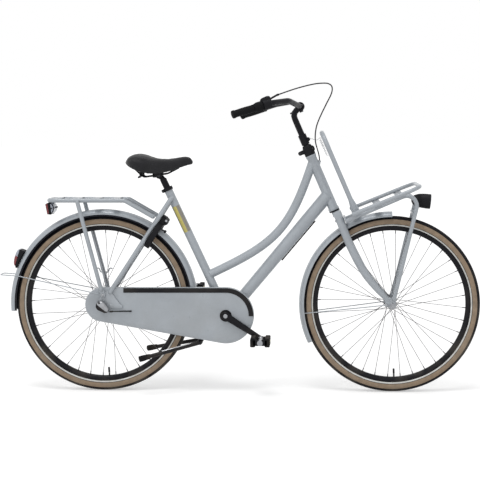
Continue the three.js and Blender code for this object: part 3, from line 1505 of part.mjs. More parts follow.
// Rear lamp: a wedge on the fender that holds an upright lens
const lampFenderRadius = rearCrownRadius + fenderSeat;
const lensUp = point(Math.sin(rearLensLean), 0, Math.cos(rearLensLean));
const lensOut = point(-Math.cos(rearLensLean), 0, Math.sin(rearLensLean));
const lensFace = polar(lampFenderRadius + rearLampDepth, rearLampAngle);
const lensAt = (up, out) => lensFace.clone().addScaledVector(lensUp, up).addScaledVector(lensOut, out);
const flatOf = (places) => places.map((p) => [p.x, p.z]);
const halfLens = rearLampHeight / 2;
const lampSeatAngles = [1, 0.5, 0, -0.5, -1].map((share) => rearLampAngle + rearLampSeatAngle * share);
rearWheelGroup.add(node('rear_lamp', plate(flatOf([
  lensAt(-halfLens, -rearLampLensDepth - clearance),
  ...lampSeatAngles.map((angle) => polar(lampFenderRadius, angle)),
  lensAt(halfLens, -rearLampLensDepth - clearance),
]), -rearLampWidth / 2, rearLampWidth), blackPlastic));
rearWheelGroup.add(node('rear_lamp_lens', plate(flatOf([
  lensAt(-halfLens, -rearLampLensDepth), lensAt(halfLens, -rearLampLensDepth),
  lensAt(halfLens - rearLampBevel, 0), lensAt(rearLampBevel - halfLens, 0),
]), -rearLampWidth / 2, rearLampWidth), redLens));

// Rear carrier: a U of tube, flat cross straps, and a strut down each side to the dropout
const deckFoot = onSeatStay(deckFootShare, deckFootSpread).addScaledVector(stayAhead, -deckFootSetback);
const strutFoot = spread(dropoutEye, carrierStrutSpread);
const strutTop = point(
  deckFrontX + (deckEndX - deckFrontX) * strutTopShare, carrierStrutSpread, deckHeight);
const strutFootInner = rearNutFrom + stayEyeThickness + clearance;
function rearCarrier() {
  const half = [
    deckFoot, point(deckFrontX, deckSpread, deckHeight),
    point(deckEndX + deckTubeDiameter / 2, deckSpread, deckHeight),
  ];
  const hoop = sweep(rounded([...half, ...half.map((p) => spread(p, -p.y)).reverse()], deckBendRadius),
    circle(deckTubeDiameter / 2, rodSides));
  const straps = Array.from({ length: deckStrapCount }, (_, i) => box(
    deckStrapWidth, 2 * deckSpread, deckStrapThickness,
    deckFrontX - (deckFrontX - deckEndX) * (i + 0.5) / deckStrapCount, 0,
    deckHeight + deckTubeDiameter / 2 - deckStrapThickness / 2));
  const tab = plate([
    [deckFoot.x - deckTabLength / 2, deckFoot.z + deckTubeDiameter],
    [deckFoot.x - deckTabLength / 2, deckFoot.z - deckTabDrop],
    [deckFoot.x + deckTabLength / 2, deckFoot.z - deckTabDrop],
    [deckFoot.x + deckTabLength / 2, deckFoot.z + deckTabDrop],
  ], deckFootSpread - deckTubeDiameter / 2 - deckTabThickness / 2, deckTabThickness);
  return join(hoop, ...straps, bothSides(join(tab, strut())), bagHook());
}
function strut() {
  const half = carrierStrutDiameter / 2;
  const pinReach = strutFootInner - dropoutInner;
  return join(
    rod(strutTop, strutFoot.clone().lerp(strutTop, strutLiftShare), carrierStrutDiameter, tubeSides),
    plate([
      ...arc(dropoutEye.x, dropoutEye.z, half, -Math.PI, 0, bendSteps),
      [strutFoot.x + (strutTop.x - strutFoot.x) * strutTabShare + half,
        strutFoot.z + (strutTop.z - strutFoot.z) * strutTabShare],
      [strutFoot.x + (strutTop.x - strutFoot.x) * strutTabShare - half,
        strutFoot.z + (strutTop.z - strutFoot.z) * strutTabShare],
    ], strutFootInner, strutFootThickness),
    disc(eyeBoltDiameter / 2, spread(dropoutEye, strutFootInner - pinReach), side,
      pinReach + strutFootThickness, rodSides),
    disc(eyeBoltDiameter, spread(dropoutEye, strutFootInner + strutFootThickness - clearance), side,
      eyeBoltDiameter / 2, rodSides),
  );
}
// A double hook for a bag's elastic, bent from rod on the left strut
function bagHook() {
  const root = strutFoot.clone().lerp(strutTop, hookShare);
  const hookAt = ([aheadShare, riseShare]) => root.clone().add(point(
    bagHookLength * aheadShare, 0, bagHookLength * riseShare));
  return join(...bagHookShares.map((shares) => sweep([root, ...shares.map(hookAt)],
    circle(bagHookRod / 2, wireSides))));
}
bike.add(node('rear_carrier', rearCarrier(), greyLacquer));

// Reflector hung under the carrier's rear end
const reflectorTop = deckHeight - deckTubeDiameter / 2 - clearance;
bike.add(node('carrier_reflector', plate(reflectorOutlineShares.map(([depthShare, dropShare]) => [
  deckEndX + reflectorDepth * depthShare, reflectorTop - reflectorHeight * dropShare,
]), -reflectorWidth / 2, reflectorWidth), redLens));

// Ring lock in front of the seat stays, at a set reach from the rear axle so that it clears
// the fender: a horseshoe body with a channel, and the shackle that runs in it
const lockGroup = new THREE.Group();
const lockFrom = seatStayFoot.clone()
  .addScaledVector(stayAhead, seatStayDiameter / 2 + clearance + lockThickness / 2);
const lockOffset = lockFrom.clone().sub(rearAxle);
const lockAlong = lockOffset.dot(stayUp);
const lockRise = Math.sqrt(lockAlong ** 2 - lockOffset.lengthSq() + lockReach ** 2) - lockAlong;
lockGroup.position.copy(lockFrom).addScaledVector(stayUp, lockRise);
lockGroup.rotation.y = Math.atan2(stayUp.x, stayUp.z);
bike.add(lockGroup);
const lockPlate = (outline, x, thickness) => plate(outline, -x - thickness, thickness).rotateZ(Math.PI / 2);
const lockArc = (radius, from, to, steps = lockSteps) => arc(0, 0, radius, from, to, steps);
function lockBody() {
  const half = lockRingWidth / 2;
  const [from, to] = [lockGapAngle - Math.PI / 2, 1.5 * Math.PI - lockGapAngle];
  const horseshoe = lockPlate([
    ...lockArc(lockRingRadius + half, from, to), ...lockArc(lockRingRadius - half, to, from),
  ], -lockThickness / 2, lockThickness);
  const case_ = lockPlate([
    [-lockCrownWidth / 2, lockRingRadius - half], [lockCrownWidth / 2, lockRingRadius - half],
    [lockCrownWidth / 2, lockCrownHeight * lockCrownShoulderShare],
    [lockCrownWidth / 2 * lockCrownShoulderShare, lockCrownHeight],
    [-lockCrownWidth / 2 * lockCrownShoulderShare, lockCrownHeight],
    [-lockCrownWidth / 2, lockCrownHeight * lockCrownShoulderShare],
  ], -lockThickness / 2, lockCrownThickness);
  const opening = lockPlate(lockArc(lockRingRadius - half, 0, 2 * Math.PI).slice(1),
    -lockCrownThickness, 2 * lockCrownThickness);
  const channel = sweep(
    lockArc(lockRingRadius, from - lockChannelOverrun, to + lockChannelOverrun, 2 * lockSteps)
      .map(([y, z]) => point(0, y, z)),
    circle(lockShackleDiameter / 2 + lockChannelGap, rodSides));
  const slotHalf = lockLeverDiameter / 2 + runningGap;
  const [slotStart, slotEnd] = [leverAngle - lockLeverMargin, leverAngle + lockTravel + lockLeverMargin];
  const slot = lockPlate([
    ...lockArc(lockRingRadius + slotHalf, slotStart, slotEnd),
    ...lockArc(lockRingRadius - slotHalf, slotEnd, slotStart),
  ], 0, lockCrownThickness);
  return cut(join(horseshoe, case_), opening, channel, slot);
}
function lockShackle() {
  const route = lockArc(lockRingRadius, shackleEndAngle - shackleSpan, shackleEndAngle)
    .map(([y, z]) => point(0, y, z));
  const lever = point(0, lockRingRadius * Math.cos(leverAngle), lockRingRadius * Math.sin(leverAngle));
  const tip = lever.clone().setX(lockThickness / 2 + lockKnobReach);
  return join(
    sweep(route, circle(lockShackleDiameter / 2, rodSides)),
    rod(lever, tip, lockLeverDiameter),
    rod(tip.clone().setX(tip.x - lockKnobLength), tip, lockKnobDiameter),
  );
}
lockGroup.add(node('ring_lock_body', lockBody(), blackPlastic));
lockGroup.add(node('lock_shackle', lockShackle(), darkSteel));

// Chain guard: a closed outer face and rim round the chain loop, open inside behind a lip,
// with a hole at the crank and a slot where the stay steps out to the dropout
const guardOutline = (inset) => belt(
  bottomBracket, guardFrontRadius - inset, rearAxle, guardRearRadius - inset);
function chainGuard() {
  const depth = guardOuter - guardInner;
  const slotFrom = rearAxle.x + guardSlotLength / 2;
  return cut(
    plate(guardOutline(0), -guardOuter, depth),
    plate(guardOutline(guardWall), guardWall - guardOuter, depth - 2 * guardWall),
    plate(guardOutline(guardLip), -guardInner - guardWall - clearance, guardWall + overrun),
    disc(guardCrankHole, spread(bottomBracket, -guardOuter - overrun), side, depth),
    disc(guardAxleHole, spread(rearAxle, -guardOuter - overrun), side, depth),
    box(guardSlotLength, depth, guardSlotHeight, slotFrom, overrun - guardOuter, rearAxle.z - guardSlotDrop),
    mirrored(sweep(seatStayRoute, circle(envelope(seatStayDiameter / 2), tubeSides))),
  );
}
bike.add(node('chain_guard', chainGuard(), greyLacquer));

// Black trim along the guard's top edge and round its front
function guardTrim() {
  const edge = (inset) => {
    const [top, rear] = guardOutline(inset).slice(guardArcSteps, guardArcSteps + 2);
    const share = (trimRearX - rear[0]) / (top[0] - rear[0]);
    const topAngle = Math.atan2(top[1] - bottomBracket.z, top[0] - bottomBracket.x);
    return [
      ...arc(bottomBracket.x, bottomBracket.z, guardFrontRadius - inset, trimEndAngle, topAngle,
        guardArcSteps),
      [trimRearX, rear[1] + (top[1] - rear[1]) * share],
    ];
  };
  return plate([...edge(trimEdge), ...edge(trimEdge + trimWidth).reverse()],
    -guardOuter - clearance - trimThickness, trimThickness);
}
bike.add(node('chain_guard_trim', guardTrim(), blackPlastic));

// A toothed wheel: blank, teeth and a bore
const pitchRadius = (teeth) => chainPitch / (2 * Math.sin(Math.PI / teeth));
function toothed(teeth, y) {
  const root = pitchRadius(teeth) - toothRoot;
  const outline = Array.from({ length: teeth }, (_, i) => toothShares.map(([turnShare, riseShare]) => {
    const angle = 2 * Math.PI * (i + turnShare) / teeth;
    const radius = root + toothHeight * riseShare;
    return [radius * Math.cos(angle), radius * Math.sin(angle)];
  })).flat();
  return plate(outline, y - toothThickness / 2, toothThickness);
}
rearWheelGroup.add(node('rear_sprocket', cut(
  toothed(sprocketTeeth, -chainLine),
  disc(envelope(hubNeckRadius), point(0, -chainLine - chainWidth, 0), side, 2 * chainWidth),
), darkSteel));

// Chain: a closed channel whose slot takes the teeth
function chain() {
  const [half, top] = [chainWidth / 2, chainHeight / 2];
  const section = [
    [top, half], [top, -half], [-top, -half], [-top, -chainSlot / 2],
    [top - chainWeb, -chainSlot / 2], [top - chainWeb, chainSlot / 2], [-top, chainSlot / 2], [-top, half],
  ];
  const [front, rear] = [pitchRadius(ringTeeth), pitchRadius(sprocketTeeth)];
  const loops = section.map(([rise, across]) => belt(bottomBracket, front + rise, rearAxle, rear + rise)
    .map(([x, z]) => point(x, across - chainLine, z)));
  return loft(loops[0].map((_, i) => loops.map((loop) => loop[i])), true);
}
bike.add(node('chain', chain(), darkSteel));

// Cranks turn together about the bottom bracket: right arm, chainring, and the left arm
// with the spindle
const crankGroup = new THREE.Group();
crankGroup.position.copy(bottomBracket);
crankGroup.rotation.y = -crankAngle;
bike.add(crankGroup);
const pedalFrom = crankInner + crankThickness + pedalGap;
const bracketHalf = bracketShellWidth / 2;
function crank(sign) {
  const arm = plate([
    ...arc(0, 0, crankRootWidth / 2, Math.PI / 2, 1.5 * Math.PI, 2 * bendSteps),
    ...arc(crankLength, 0, crankTipWidth / 2, -Math.PI / 2, Math.PI / 2, 2 * bendSteps),
  ], crankInner, crankThickness);
  const pin = disc(pedalAxleDiameter / 2, point(crankLength, crankInner, 0), side,
    crankThickness + pedalGap + pedalLength, tubeSides);
  const boss = disc(crankBossDiameter / 2, point(0, bracketHalf + runningGap, 0), side,
    crankInner + crankThickness - bracketHalf - runningGap, roundSides);
  const geometry = join(arm, pin, boss);
  return sign > 0 ? geometry.rotateY(Math.PI) : mirrored(geometry);
}
const spindleReach = crankInner + crankThickness;
const spindleBore = disc(envelope(spindleDiameter / 2), point(0, -spindleReach - overrun, 0), side,
  crankInner + overrun, tubeSides);
crankGroup.add(node('crank_right', cut(
  join(crank(-1), disc(crankBossRadius, point(0, -crankInner - clearance, 0), side, crankCapThickness)),
  spindleBore,
), blackLacquer));
crankGroup.add(node('crank_left', join(
  crank(1),
  disc(spindleDiameter / 2, point(0, -spindleReach, 0), side, 2 * spindleReach, tubeSides),
), blackLacquer));
function chainring() {
  const y = -chainLine;
  const root = pitchRadius(ringTeeth) - toothRoot;
  const ring = cut(toothed(ringTeeth, y),
    disc(root - ringWebWidth, point(0, y - chainWidth, 0), side, 2 * chainWidth));
  const armReach = root - ringWebWidth / 2;
  const arms = Array.from({ length: ringArms }, (_, i) => box(
    armReach, toothThickness, ringArmWidth, armReach / 2, y, 0).rotateY(2 * Math.PI * i / ringArms));
  return cut(
    join(ring, ...arms, disc(spiderRadius, point(0, y - toothThickness / 2, 0), side, toothThickness)),
    disc(envelope(crankBossDiameter / 2), point(0, y - chainWidth, 0), side, 2 * chainWidth),
  );
}
crankGroup.add(node('chainring', chainring(), darkSteel));

// Pedals keep level on the pins at the crank ends
function pedal() {
  const halfDepth = pedalDepth / 2;
  const treads = [-1, 1].map((end) => box(pedalTread, pedalLength, pedalHeight,
    end * (halfDepth - pedalTread / 2), pedalFrom + pedalLength / 2, 0));
  const ends = [pedalFrom + pedalEnd / 2, pedalFrom + pedalLength - pedalEnd / 2].map((y) => box(
    pedalDepth - pedalTread, pedalEnd, pedalHeight * pedalEndShare, 0, y, 0));
  const capFrom = pedalFrom + pedalLength - clearance;
  return cut(
    join(...treads, ...ends,
      disc(pedalBarrel / 2, point(0, pedalFrom, 0), side, pedalLength, tubeSides),
      disc(pedalCapDiameter / 2, point(0, capFrom, 0), side, pedalCapLength, tubeSides)),
    disc(bored(pedalAxleDiameter / 2, tubeSides), point(0, pedalFrom - overrun, 0), side,
      pedalLength + overrun + clearance, tubeSides),
  );
}
const crankTip = (sign) => bottomBracket.clone().add(
  point(crankLength * Math.cos(crankAngle), 0, crankLength * Math.sin(crankAngle)).multiplyScalar(-sign));
for (const [name, sign] of [['pedal_right', -1], ['pedal_left', 1]]) {
  const mesh = node(name, sign > 0 ? pedal() : mirrored(pedal()), blackPlastic);
  mesh.position.copy(crankTip(sign));
  bike.add(mesh);
}

// Gear box over the right end of the rear axle, with the rod of its cable running forward
const boxInner = rearAxleReach + clearance;
const boxTip = (share, drop = 0) => point(
  rearAxle.x + gearBoxLength * Math.cos(gearBoxTilt) * share + drop * Math.sin(gearBoxTilt),
  -boxInner - gearBoxWidth / 2,
  rearAxle.z + gearBoxLength * Math.sin(gearBoxTilt) * share - drop * Math.cos(gearBoxTilt));
function gearBox() {
  const [from, to] = [boxTip(-gearBoxBackShare), boxTip(1 - gearBoxBackShare)];
  const [large, small] = [gearBoxHeight / 2, gearBoxHeight / 2 * gearBoxNoseShare];
  const run = gearBoxLength - large - small;
  const direction = to.clone().sub(from).normalize();
  const a = from.clone().addScaledVector(direction, large);
  const b = a.clone().addScaledVector(direction, run);
  return plate(belt({ x: a.x, z: a.z }, large, { x: b.x, z: b.z }, small, bendSteps),
    -boxInner - gearBoxWidth, gearBoxWidth);
}
bike.add(node('gear_box', gearBox(), silver));

// Cable along the down tube's lower side, clipped at both ends
const downLine = downTo.clone().sub(downFrom);
const downBelow = point(downLine.z, 0, -downLine.x).normalize();
const downGrowth = downTubeHighDiameter - downTubeLowDiameter;
const downRadius = (share) => (downTubeLowDiameter + downGrowth * share) / 2;
const underTube = (share, lift) => downFrom.clone().addScaledVector(downLine, share)
  .addScaledVector(downBelow, downRadius(share) + lift);
function lowerCable() {
  const lift = clearance + cableDiameter / 2;
  const [low, high] = lowerCableShares;
  const clip = (share) => rod(underTube(share - clipHalfShare, lift), underTube(share + clipHalfShare, lift),
    cableDiameter);
  const pad = (share) => {
    const place = underTube(share, lift);
    return rod(spread(place, -clipWidth / 2), spread(place, clipWidth / 2), cableDiameter, wireSides);
  };
  return join(
    rod(underTube(low, lift), underTube(high, lift), cableDiameter),
    clip(low), clip(high), pad(low + clipHalfShare), pad(high - clipHalfShare),
  );
}
bike.add(node('gear_cable', lowerCable(), blackRubber));

// Rod of the gear cable from the box to the guard's face
function gearRod() {
  const start = boxTip(1 - gearBoxBackShare).addScaledVector(point(1, 0, 0), clearance + gearRodLead);
  const end = point(
    rearAxle.x + gearRodReach, -guardOuter - clearance - cableDiameter / 2, rearAxle.z - gearRodDrop);
  const knee = end.clone().setX(end.x - gearRodKnee);
  return sweep([start, knee, end], circle(cableDiameter / 2, rodSides));
}
bike.add(node('gear_cable_rod', gearRod(), blackRubber));

// Brake arm on the left of the hub: a ring round the hub cap, an arm under the chain stay
// and a clip round the stay
function brakeArm() {
  const y = brakeArmInner;
  const ring = disc(brakeRingRadius, point(rearAxle.x, y, rearAxle.z), side, brakeArmThickness);
  const tip = rearAxle.clone().add(point(
    brakeArmLength * Math.cos(brakeArmAngle), 0, brakeArmLength * Math.sin(brakeArmAngle)));
  const stayShare = (bottomBracket.x - tip.x) / chainStayReach;
  const clipCentre = onStay(stayShare, chainStaySpread);
  const arm = plate(belt(tip, brakeArmWidth / 2 * brakeArmTipShare, rearAxle, brakeArmWidth / 2, bendSteps),
    y, brakeArmThickness);
  const forward = bottomBracket.clone().sub(rearAxle).normalize();
  const clipFrom = clipCentre.clone().addScaledVector(forward, -brakeArmWidth * brakeArmTipShare / 2);
  const clip = disc(chainStayDiameter / 2 + clearance + brakeClipWall, clipFrom, forward,
    brakeArmWidth * brakeArmTipShare, tubeSides);
  const link = box(brakeArmWidth * brakeArmTipShare, brakeArmThickness, clipCentre.z - tip.z,
    tip.x, y + brakeArmThickness / 2, (clipCentre.z + tip.z) / 2);
  return cut(
    join(ring, arm, clip, link),
    disc(envelope(hubCapRadius), point(rearAxle.x, y - overrun, rearAxle.z), side,
      brakeArmThickness + 2 * overrun),
    sweep([
      onStay(stayShare + brakeClipRunShare, chainStaySpread),
      onStay(stayShare - brakeClipRunShare, chainStaySpread),
    ], circle(envelope(chainStayDiameter / 2), tubeSides, chainStayFlatShare)),
  );
}
bike.add(node('brake_arm', brakeArm(), darkSteel));

// Kickstand bracket under the chain stays, and the two-legged stand that swings on its pin
const standPivot = bottomBracket.clone().add(point(-standPivotBack, 0, -standPivotDrop));
const bracketTop = onStay(chainStayBridgeShare, 0)
  .add(point(0, 0, -chainStayDiameter / 2 / Math.cos(Math.atan2(rearward.z, -rearward.x)) - clearance));
function standBracket() {
  const lean = Math.atan2(rearward.z, -rearward.x);
  const flange = box(standPlateLength, 2 * standRootSpread, standPlateThickness,
    0, 0, -standPlateThickness / 2 - clearance)
    .rotateY(lean).translate(bracketTop.x, 0, bracketTop.z);
  const stem = plate([
    [bracketTop.x + standStemWidth / 2, bracketTop.z - standPlateThickness / 2 - clearance],
    [standPivot.x + standBarrelDiameter / 2, standPivot.z],
    [standPivot.x - standBarrelDiameter / 2, standPivot.z],
    [bracketTop.x - standStemWidth / 2, bracketTop.z - standPlateThickness / 2 - clearance],
  ], -standStemWidth / 2, standStemWidth);
  return cut(
    join(flange, stem, rod(spread(standPivot, -standBarrelHalf), spread(standPivot, standBarrelHalf),
      standBarrelDiameter, tubeSides)),
    rod(spread(standPivot, -standRootSpread), spread(standPivot, standRootSpread),
      2 * bored(standPinDiameter / 2, tubeSides), tubeSides),
  );
}
bike.add(node('kickstand_bracket', standBracket(), blackLacquer));
const standGroup = new THREE.Group();
standGroup.position.copy(standPivot);
bike.add(standGroup);
function kickstand() {
  const foot = point(
    -standReach * Math.cos(standFoldAngle), standSpread, -standReach * Math.sin(standFoldAngle));
  const root = point(0, standRootSpread + standLegDiameter / 2, 0);
  const legDirection = foot.clone().sub(root).normalize();
  return join(
    rod(point(0, -root.y, 0), root, standPinDiameter, tubeSides),
    bothSides(join(
      rod(root.clone().addScaledVector(legDirection, -standLegDiameter / 2), foot, standLegDiameter,
        rodSides),
      rod(foot.clone().addScaledVector(legDirection, -standFootLength * standFootBackShare),
        foot.clone().addScaledVector(legDirection, standFootLength * (1 - standFootBackShare)),
        standFootDiameter, rodSides),
    )),
  );
}
standGroup.add(node('kickstand', kickstand(), blackLacquer));

export default bike;
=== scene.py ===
import json
from math import acos, atan2, ceil, copysign, cos, degrees, hypot, pi, radians, sin, sqrt, tan, tau

import bmesh
import bpy
from mathutils import Matrix, Quaternion, Vector

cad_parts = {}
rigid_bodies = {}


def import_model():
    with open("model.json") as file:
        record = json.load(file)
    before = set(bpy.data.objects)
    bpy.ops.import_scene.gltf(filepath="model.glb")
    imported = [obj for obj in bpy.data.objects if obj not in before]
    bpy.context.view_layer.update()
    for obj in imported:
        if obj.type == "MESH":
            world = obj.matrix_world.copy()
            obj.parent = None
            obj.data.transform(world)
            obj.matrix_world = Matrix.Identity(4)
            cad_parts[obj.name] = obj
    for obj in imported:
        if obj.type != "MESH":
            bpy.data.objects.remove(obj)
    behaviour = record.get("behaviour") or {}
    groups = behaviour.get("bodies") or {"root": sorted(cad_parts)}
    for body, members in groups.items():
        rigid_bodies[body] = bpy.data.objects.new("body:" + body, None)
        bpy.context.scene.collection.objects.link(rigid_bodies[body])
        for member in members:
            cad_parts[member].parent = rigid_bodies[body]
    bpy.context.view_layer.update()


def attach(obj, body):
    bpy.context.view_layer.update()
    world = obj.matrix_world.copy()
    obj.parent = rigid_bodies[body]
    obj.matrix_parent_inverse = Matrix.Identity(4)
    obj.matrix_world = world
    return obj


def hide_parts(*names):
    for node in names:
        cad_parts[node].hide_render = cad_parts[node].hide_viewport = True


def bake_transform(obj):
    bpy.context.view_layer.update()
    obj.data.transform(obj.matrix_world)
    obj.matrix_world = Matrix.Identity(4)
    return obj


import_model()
scene = bpy.context.scene


def vec(x, y, z):
    return Vector((x, y, z))


MM = 0.001
SIDE, UP, FORWARD, ORIGIN = vec(0, 1, 0), vec(0, 0, 1), vec(1, 0, 0), vec(0, 0, 0)
TUBE_SIDES = 24
BEND_STEPS = 10
WHEEL_SEGMENTS = 144
SMOOTH_ANGLE = radians(38)
BEVEL_ANGLE = radians(40)
END_SHRINK = 0.97
SAME_PLACE = 0.000002


# mesh building
class Shape:
    """Vertices and faces of one piece, with a finish number for each face."""

    def __init__(self, points=(), faces=(), finishes=()):
        self.points, self.faces, self.finishes = list(points), list(faces), list(finishes)

    def moved(self, matrix):
        order = -1 if matrix.determinant() < 0 else 1
        faces = [face[::order] for face in self.faces]
        return Shape([matrix @ p for p in self.points], faces, self.finishes)

    def middle(self, face):
        return sum((self.points[i] for i in face), Vector()) / len(face)


def joined(*shapes):
    whole = Shape()
    for shape in shapes:
        start = len(whole.points)
        whole.points += shape.points
        whole.faces += [[start + i for i in face] for face in shape.faces]
        whole.finishes += shape.finishes
    return whole


def mirrored(shape):
    return shape.moved(Matrix.Scale(-1, 4, SIDE))


def both_sides(shape):
    return joined(shape, mirrored(shape))


def spread(place, y):
    return vec(place.x, y, place.z)


def polar(radius, angle, y=0.0):
    return vec(radius * cos(angle), y, radius * sin(angle))


def side_ring(outline, y):
    return [vec(x, y, z) for x, z in outline]


def loft(rings, looped=False, finish=0):
    """Stacked rings of equal size, joined into one skin with closed ends."""
    count, total = len(rings[0]), len(rings)
    faces = []
    for i in range(total if looped else total - 1):
        low, high = i * count, (i + 1) % total * count
        for j in range(count):
            k = (j + 1) % count
            faces.append([low + j, low + k, high + k, high + j])
    if not looped:
        last = (total - 1) * count
        faces += [list(range(count))[::-1], list(range(last, last + count))]
    return Shape([Vector(p) for ring in rings for p in ring], faces, [finish] * len(faces))


def circle(radius, sides, flatten=1):
    turn = tau / sides
    return [(radius * flatten * cos(turn * i), radius * sin(turn * i)) for i in range(sides)]


def sweep(route, section, scales=None, finish=0, dome=0.0, level=False):
    """A section carried along a route. level keeps its first axis across the bike;
    dome rounds both ends by that share of the radius."""
    last = len(route) - 1
    ways = [(route[min(i + 1, last)] - route[max(i - 1, 0)]).normalized() for i in range(last + 1)]
    across = SIDE if abs(ways[0].y) < sqrt(0.5) else UP
    out = across.cross(ways[0]).normalized()
    rings = []
    for i, (place, way) in enumerate(zip(route, ways)):
        out = (SIDE.cross(way) if level else out - way * out.dot(way)).normalized()
        lateral = way.cross(out).normalized()
        scale = scales[i] if scales else 1
        rings.append([place + lateral * s * scale + out * t * scale for s, t in section])
    if dome:
        reach = max(hypot(s, t) for s, t in section) * dome
        rings = [domed(rings[0], route[0], -ways[0], reach, k / 3) for k in (3, 2, 1)] + rings + [
            domed(rings[-1], route[-1], ways[-1], reach, k / 3) for k in (1, 2, 3)]
    return loft(rings, finish=finish)


def domed(ring, centre, way, reach, share):
    """The end ring drawn in and pushed out, as on a dome."""
    shrink = sqrt(max(0.0, 1 - (share * END_SHRINK) ** 2))
    return [centre + (p - centre) * shrink + way * reach * share for p in ring]


def tube(route, diameter, sides=TUBE_SIDES, finish=0, dome=0.0, scales=None):
    return sweep(route, circle(diameter / 2, sides), scales, finish, dome)


def rod(start, end, diameter, sides=TUBE_SIDES, finish=0, dome=0.0):
    return tube([start, end], diameter, sides, finish, dome)


def rounded(corners, radius, steps=BEND_STEPS):
    """A route whose inner corners are rounded to one radius."""
    route = [corners[0].copy()]
    for before, corner, after in zip(corners, corners[1:], corners[2:]):
        back, on = before - corner, after - corner
        half = back.angle(on) / 2
        setback = min(radius / tan(half), back.length / 2, on.length / 2)
        bend = setback * tan(half)
        back.normalize()
        on.normalize()
        centre = corner + (back + on).normalized() * (bend / sin(half))
        start, end = corner + back * setback - centre, corner + on * setback - centre
        swing = start.angle(end)
        for k in range(steps + 1):
            t = k / steps
            spoke = start * sin((1 - t) * swing) + end * sin(t * swing)
            route.append(centre + spoke / sin(swing))
    return route + [corners[-1].copy()]


def smooth_route(points, steps=8):
    """A centripetal curve through the points."""
    ends = [points[0] * 2 - points[1], *points, points[-1] * 2 - points[-2]]
    route = []
    for places in zip(ends, ends[1:], ends[2:], ends[3:]):
        knots = [0.0]
        for p, q in zip(places, places[1:]):
            knots.append(knots[-1] + sqrt((q - p).length))
        for k in range(steps):
            t = knots[1] + (knots[2] - knots[1]) * k / steps
            row = list(places)
            for depth in (1, 2, 3):
                row = [row[i].lerp(row[i + 1], (t - knots[i]) / (knots[i + depth] - knots[i]))
                       for i in range(len(row) - 1)]
            route.append(row[0])
    return route + [points[-1].copy()]


def runs_of(route):
    """How far along the route each of its places is."""
    runs = [0.0]
    for a, b in zip(route, route[1:]):
        runs.append(runs[-1] + (b - a).length)
    return runs


def lathe(profile, centre, axis=SIDE, segments=64, finish=0):
    """A closed profile of (radius, along) pairs turned about an axis."""
    turn = SIDE.rotation_difference(axis.normalized())
    count, faces = len(profile), []
    for i in range(segments):
        low, high = i * count, (i + 1) % segments * count
        for j in range(count):
            k = (j + 1) % count
            if profile[j][0] or profile[k][0]:
                faces.append([low + j, high + j, high + k, low + k])
    points = [centre + turn @ polar(radius, tau * i / segments, along)
              for i in range(segments) for radius, along in profile]
    return Shape(points, faces, [finish] * len(faces))


def even_lathe(half_profile, segments):
    """A turned ring across the bike, the same on both sides."""
    return lathe([*half_profile, *[(r, -y) for r, y in reversed(half_profile)]], ORIGIN, SIDE, segments)


def hoop(outer, inner, start, axis, length, segments=48, finish=0, edge=0.0):
    """A turned ring; an edge above 0 softens its outer corners."""
    rim = [(outer - edge, 0), (outer, edge), (outer, length - edge), (outer - edge, length)]
    if not edge:
        rim = [(outer, 0), (outer, length)]
    return lathe([(inner, 0), *rim, (inner, length)], start, axis, segments, finish)


def disc(radius, start, axis, length, segments=48, finish=0, edge=0.0):
    return hoop(radius, 0, start, axis, length, segments, finish, min(edge, radius / 3, length / 3))


def bolt(place, way, radius=6.0, finish=1):
    """A domed bolt head on its washer."""
    head = [(0, 1), (radius * 0.72, 1), (radius * 0.72, 2.6), (radius * 0.4, 3.8), (0, 4)]
    return joined(disc(radius, place, way, 1.2, 28, finish, 0.3), lathe(head, place, way, 28, finish))


def arc(x, z, radius, start, end, steps):
    angles = [start + (end - start) * i / steps for i in range(steps + 1)]
    return [(x + radius * cos(a), z + radius * sin(a)) for a in angles]


def belt(a, radius_a, b, radius_b, steps=32):
    """A rounded strip round two places, each with its own radius."""
    run, lean = hypot(b.x - a.x, b.z - a.z), atan2(b.z - a.z, b.x - a.x)
    reach = acos((radius_a - radius_b) / run)
    return [*arc(a.x, a.z, radius_a, lean + reach, lean + tau - reach, steps),
            *arc(b.x, b.z, radius_b, lean - reach, lean + reach, steps)]


def link(a, radius_a, b, radius_b, turn, steps):
    """An outline round two places, each end a half circle."""
    return [*arc(a.x, a.z, radius_a, turn + pi / 2, turn + 1.5 * pi, steps),
            *arc(b.x, b.z, radius_b, turn - pi / 2, turn + pi / 2, steps)]


def box_outline(x, z, half_x, half_z, corner, steps):
    """A rectangle with rounded corners."""
    outline = []
    for sx, sz, start in ((1, 1, 0), (-1, 1, 90), (-1, -1, 180), (1, -1, 270)):
        outline += arc(x + sx * (half_x - corner), z + sz * (half_z - corner), corner,
                       radians(start), radians(start + 90), steps)
    return outline


def shape_of(mesh):
    """A Shape from a bmesh, which is freed."""
    mesh.verts.index_update()
    shape = Shape([v.co.copy() for v in mesh.verts], [[v.index for v in f.verts] for f in mesh.faces],
                  [f.material_index for f in mesh.faces])
    mesh.free()
    return shape


def softened(shape, width, segments=2):
    """The same shape with its sharp edges bevelled."""
    mesh = bmesh.new()
    corners = [mesh.verts.new(p) for p in shape.points]
    for face, finish in zip(shape.faces, shape.finishes):
        mesh.faces.new([corners[i] for i in face]).material_index = finish
    bmesh.ops.remove_doubles(mesh, verts=mesh.verts, dist=0.001)
    bmesh.ops.recalc_face_normals(mesh, faces=mesh.faces)
    sharp = [e for e in mesh.edges if len(e.link_faces) == 2 and e.calc_face_angle() > BEVEL_ANGLE]
    bmesh.ops.bevel(mesh, geom=sharp, offset=width, offset_type="OFFSET", segments=segments, profile=0.5,
                    affect="EDGES", clamp_overlap=True)
    return shape_of(mesh)


